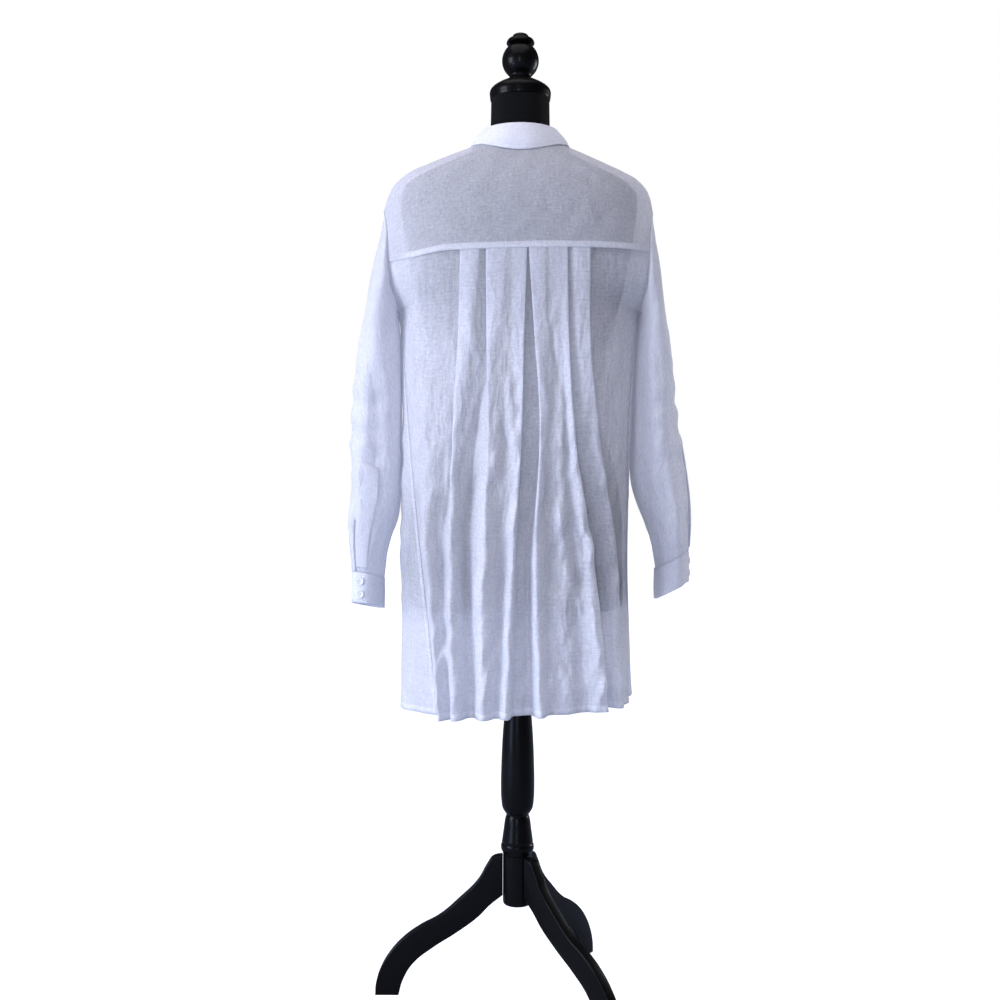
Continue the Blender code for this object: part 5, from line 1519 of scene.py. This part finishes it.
for name, place, facing in sewn:
    sew_on(f"sewn_{name}", place, facing, button_pattern, name)
    sew_on(f"thread_{name}", place, facing, thread_pattern, None)
for pattern in (button_pattern, thread_pattern):
    bpy.data.objects.remove(pattern, do_unlink=True)

# The studio: a plain pale floor, a room of soft light that is stronger and cooler on the wearer's
# left, five soft lamps, and the camera behind the wearer at the height of the hips.

bpy.ops.object.select_all(action="DESELECT")
bpy.ops.mesh.primitive_plane_add(size=60.0, location=(0.0, 0.0, 0.0))
floor = bpy.context.object
floor.name = "studio_floor"
floor_finish = Finish("pale_floor")
floor_grain = floor_finish.noise(floor_finish.add("TexCoord", output="Object"), (3.0, 3.0, 3.0), 3.0)
camera_ray, crossed = floor_finish.parts("LightPath", ("Is Camera Ray", "Transparent Depth"))
seen_floor = camera_ray * crossed.maths("LESS_THAN", 0.5)
floor_look = {
    "Base Color": floor_finish.colour(floor_grain, (0.26, 0.30, 0.37), (0.29, 0.33, 0.40)),
    "Roughness": 0.8,
    "Specular IOR Level": 0.1,
    "Emission Color": floor_finish.colour(seen_floor, (0.02, 0.025, 0.035), (1.0, 1.0, 1.0)),
    "Emission Strength": 1.0,
}
floor.data.materials.append(floor_finish.painted(floor_look))

room = Finish("soft_white_room", "worlds")
way = room.add("TexCoord", output="Generated")
sideways, ahead = room.parts("SeparateXYZ", "XY", {0: way})
share = room.add("MapRange", inputs={0: sideways, 1: -0.8, 2: 0.8, 3: 0.0, 4: 1.0})
depth = room.add("MapRange", inputs={0: ahead, 1: -0.9, 2: 0.5, 3: 0.58, 4: 1.04})
walls = room.colour(share, (0.37, 0.345, 0.34), (1.08, 1.07, 1.46))
lit = room.add("Background", inputs={0: walls, 1: depth})
dim = room.add("Background", inputs={0: walls, 1: 0.10})
white = room.add("Background", inputs={0: (1.0, 1.0, 1.0, 1.0), 1: 1.0})
ray_kinds = ("Is Camera Ray", "Is Glossy Ray", "Transparent Depth")
camera_ray, glossy_ray, crossed = room.parts("LightPath", ray_kinds)
around = room.add("MixShader", inputs={0: glossy_ray, 1: lit, 2: dim})
direct = camera_ray * crossed.maths("LESS_THAN", 0.5)
shown = room.add("MixShader", inputs={0: direct, 1: around, 2: white})
bpy.context.scene.world = room.surface(shown, "OutputWorld")


def soft_box(name, place, aim, size, power, colour):
    """A soft rectangular lamp, turned towards its aim."""
    lamp = bpy.data.lights.new(name, "AREA")
    lamp.shape = "RECTANGLE"
    lamp.size, lamp.size_y = size
    lamp.energy = power
    lamp.color = colour
    box = new_piece(name, lamp)
    box.location = place
    away = [a - b for a, b in zip(place, aim)]
    box.rotation_euler = (math.atan2(math.hypot(*away[:2]), away[2]), 0.0, math.atan2(away[0], -away[1]))


soft_box("window_left", (2.4, 1.15, 1.25), (0.0, 0.0, 1.0), (1.1, 1.3), 57.0, (0.81, 0.85, 1.0))
soft_box("window_behind", (0.45, 3.4, 0.95), (0.0, 0.0, 0.8), (0.30, 1.3), 15.0, (0.84, 0.90, 1.0))
soft_box("low_fill", (1.9, 1.5, 0.30), (0.0, 0.0, 0.55), (0.8, 0.4), 8.0, (0.42, 0.66, 1.0))
soft_box("far_window", (-2.3, -1.3, 1.2), (0.0, 0.0, 0.9), (0.6, 1.3), 30.0, (0.95, 0.97, 1.0))
soft_box("top_light", (0.2, 0.6, 3.0), (0.0, 0.0, 0.6), (2.2, 2.2), 21.0, (1.0, 0.985, 0.97))

camera_data = bpy.data.cameras.new("behind_the_wearer")
camera_data.lens = 43.2
camera_data.sensor_width = 36.0
camera = new_piece("behind_the_wearer", camera_data)
camera.location = (0.030, 1.92, 0.79)
camera.rotation_euler = (math.radians(90.0), math.radians(-0.22), math.radians(180.0))
bpy.context.scene.camera = camera
bpy.context.scene.view_settings.view_transform = "Standard"
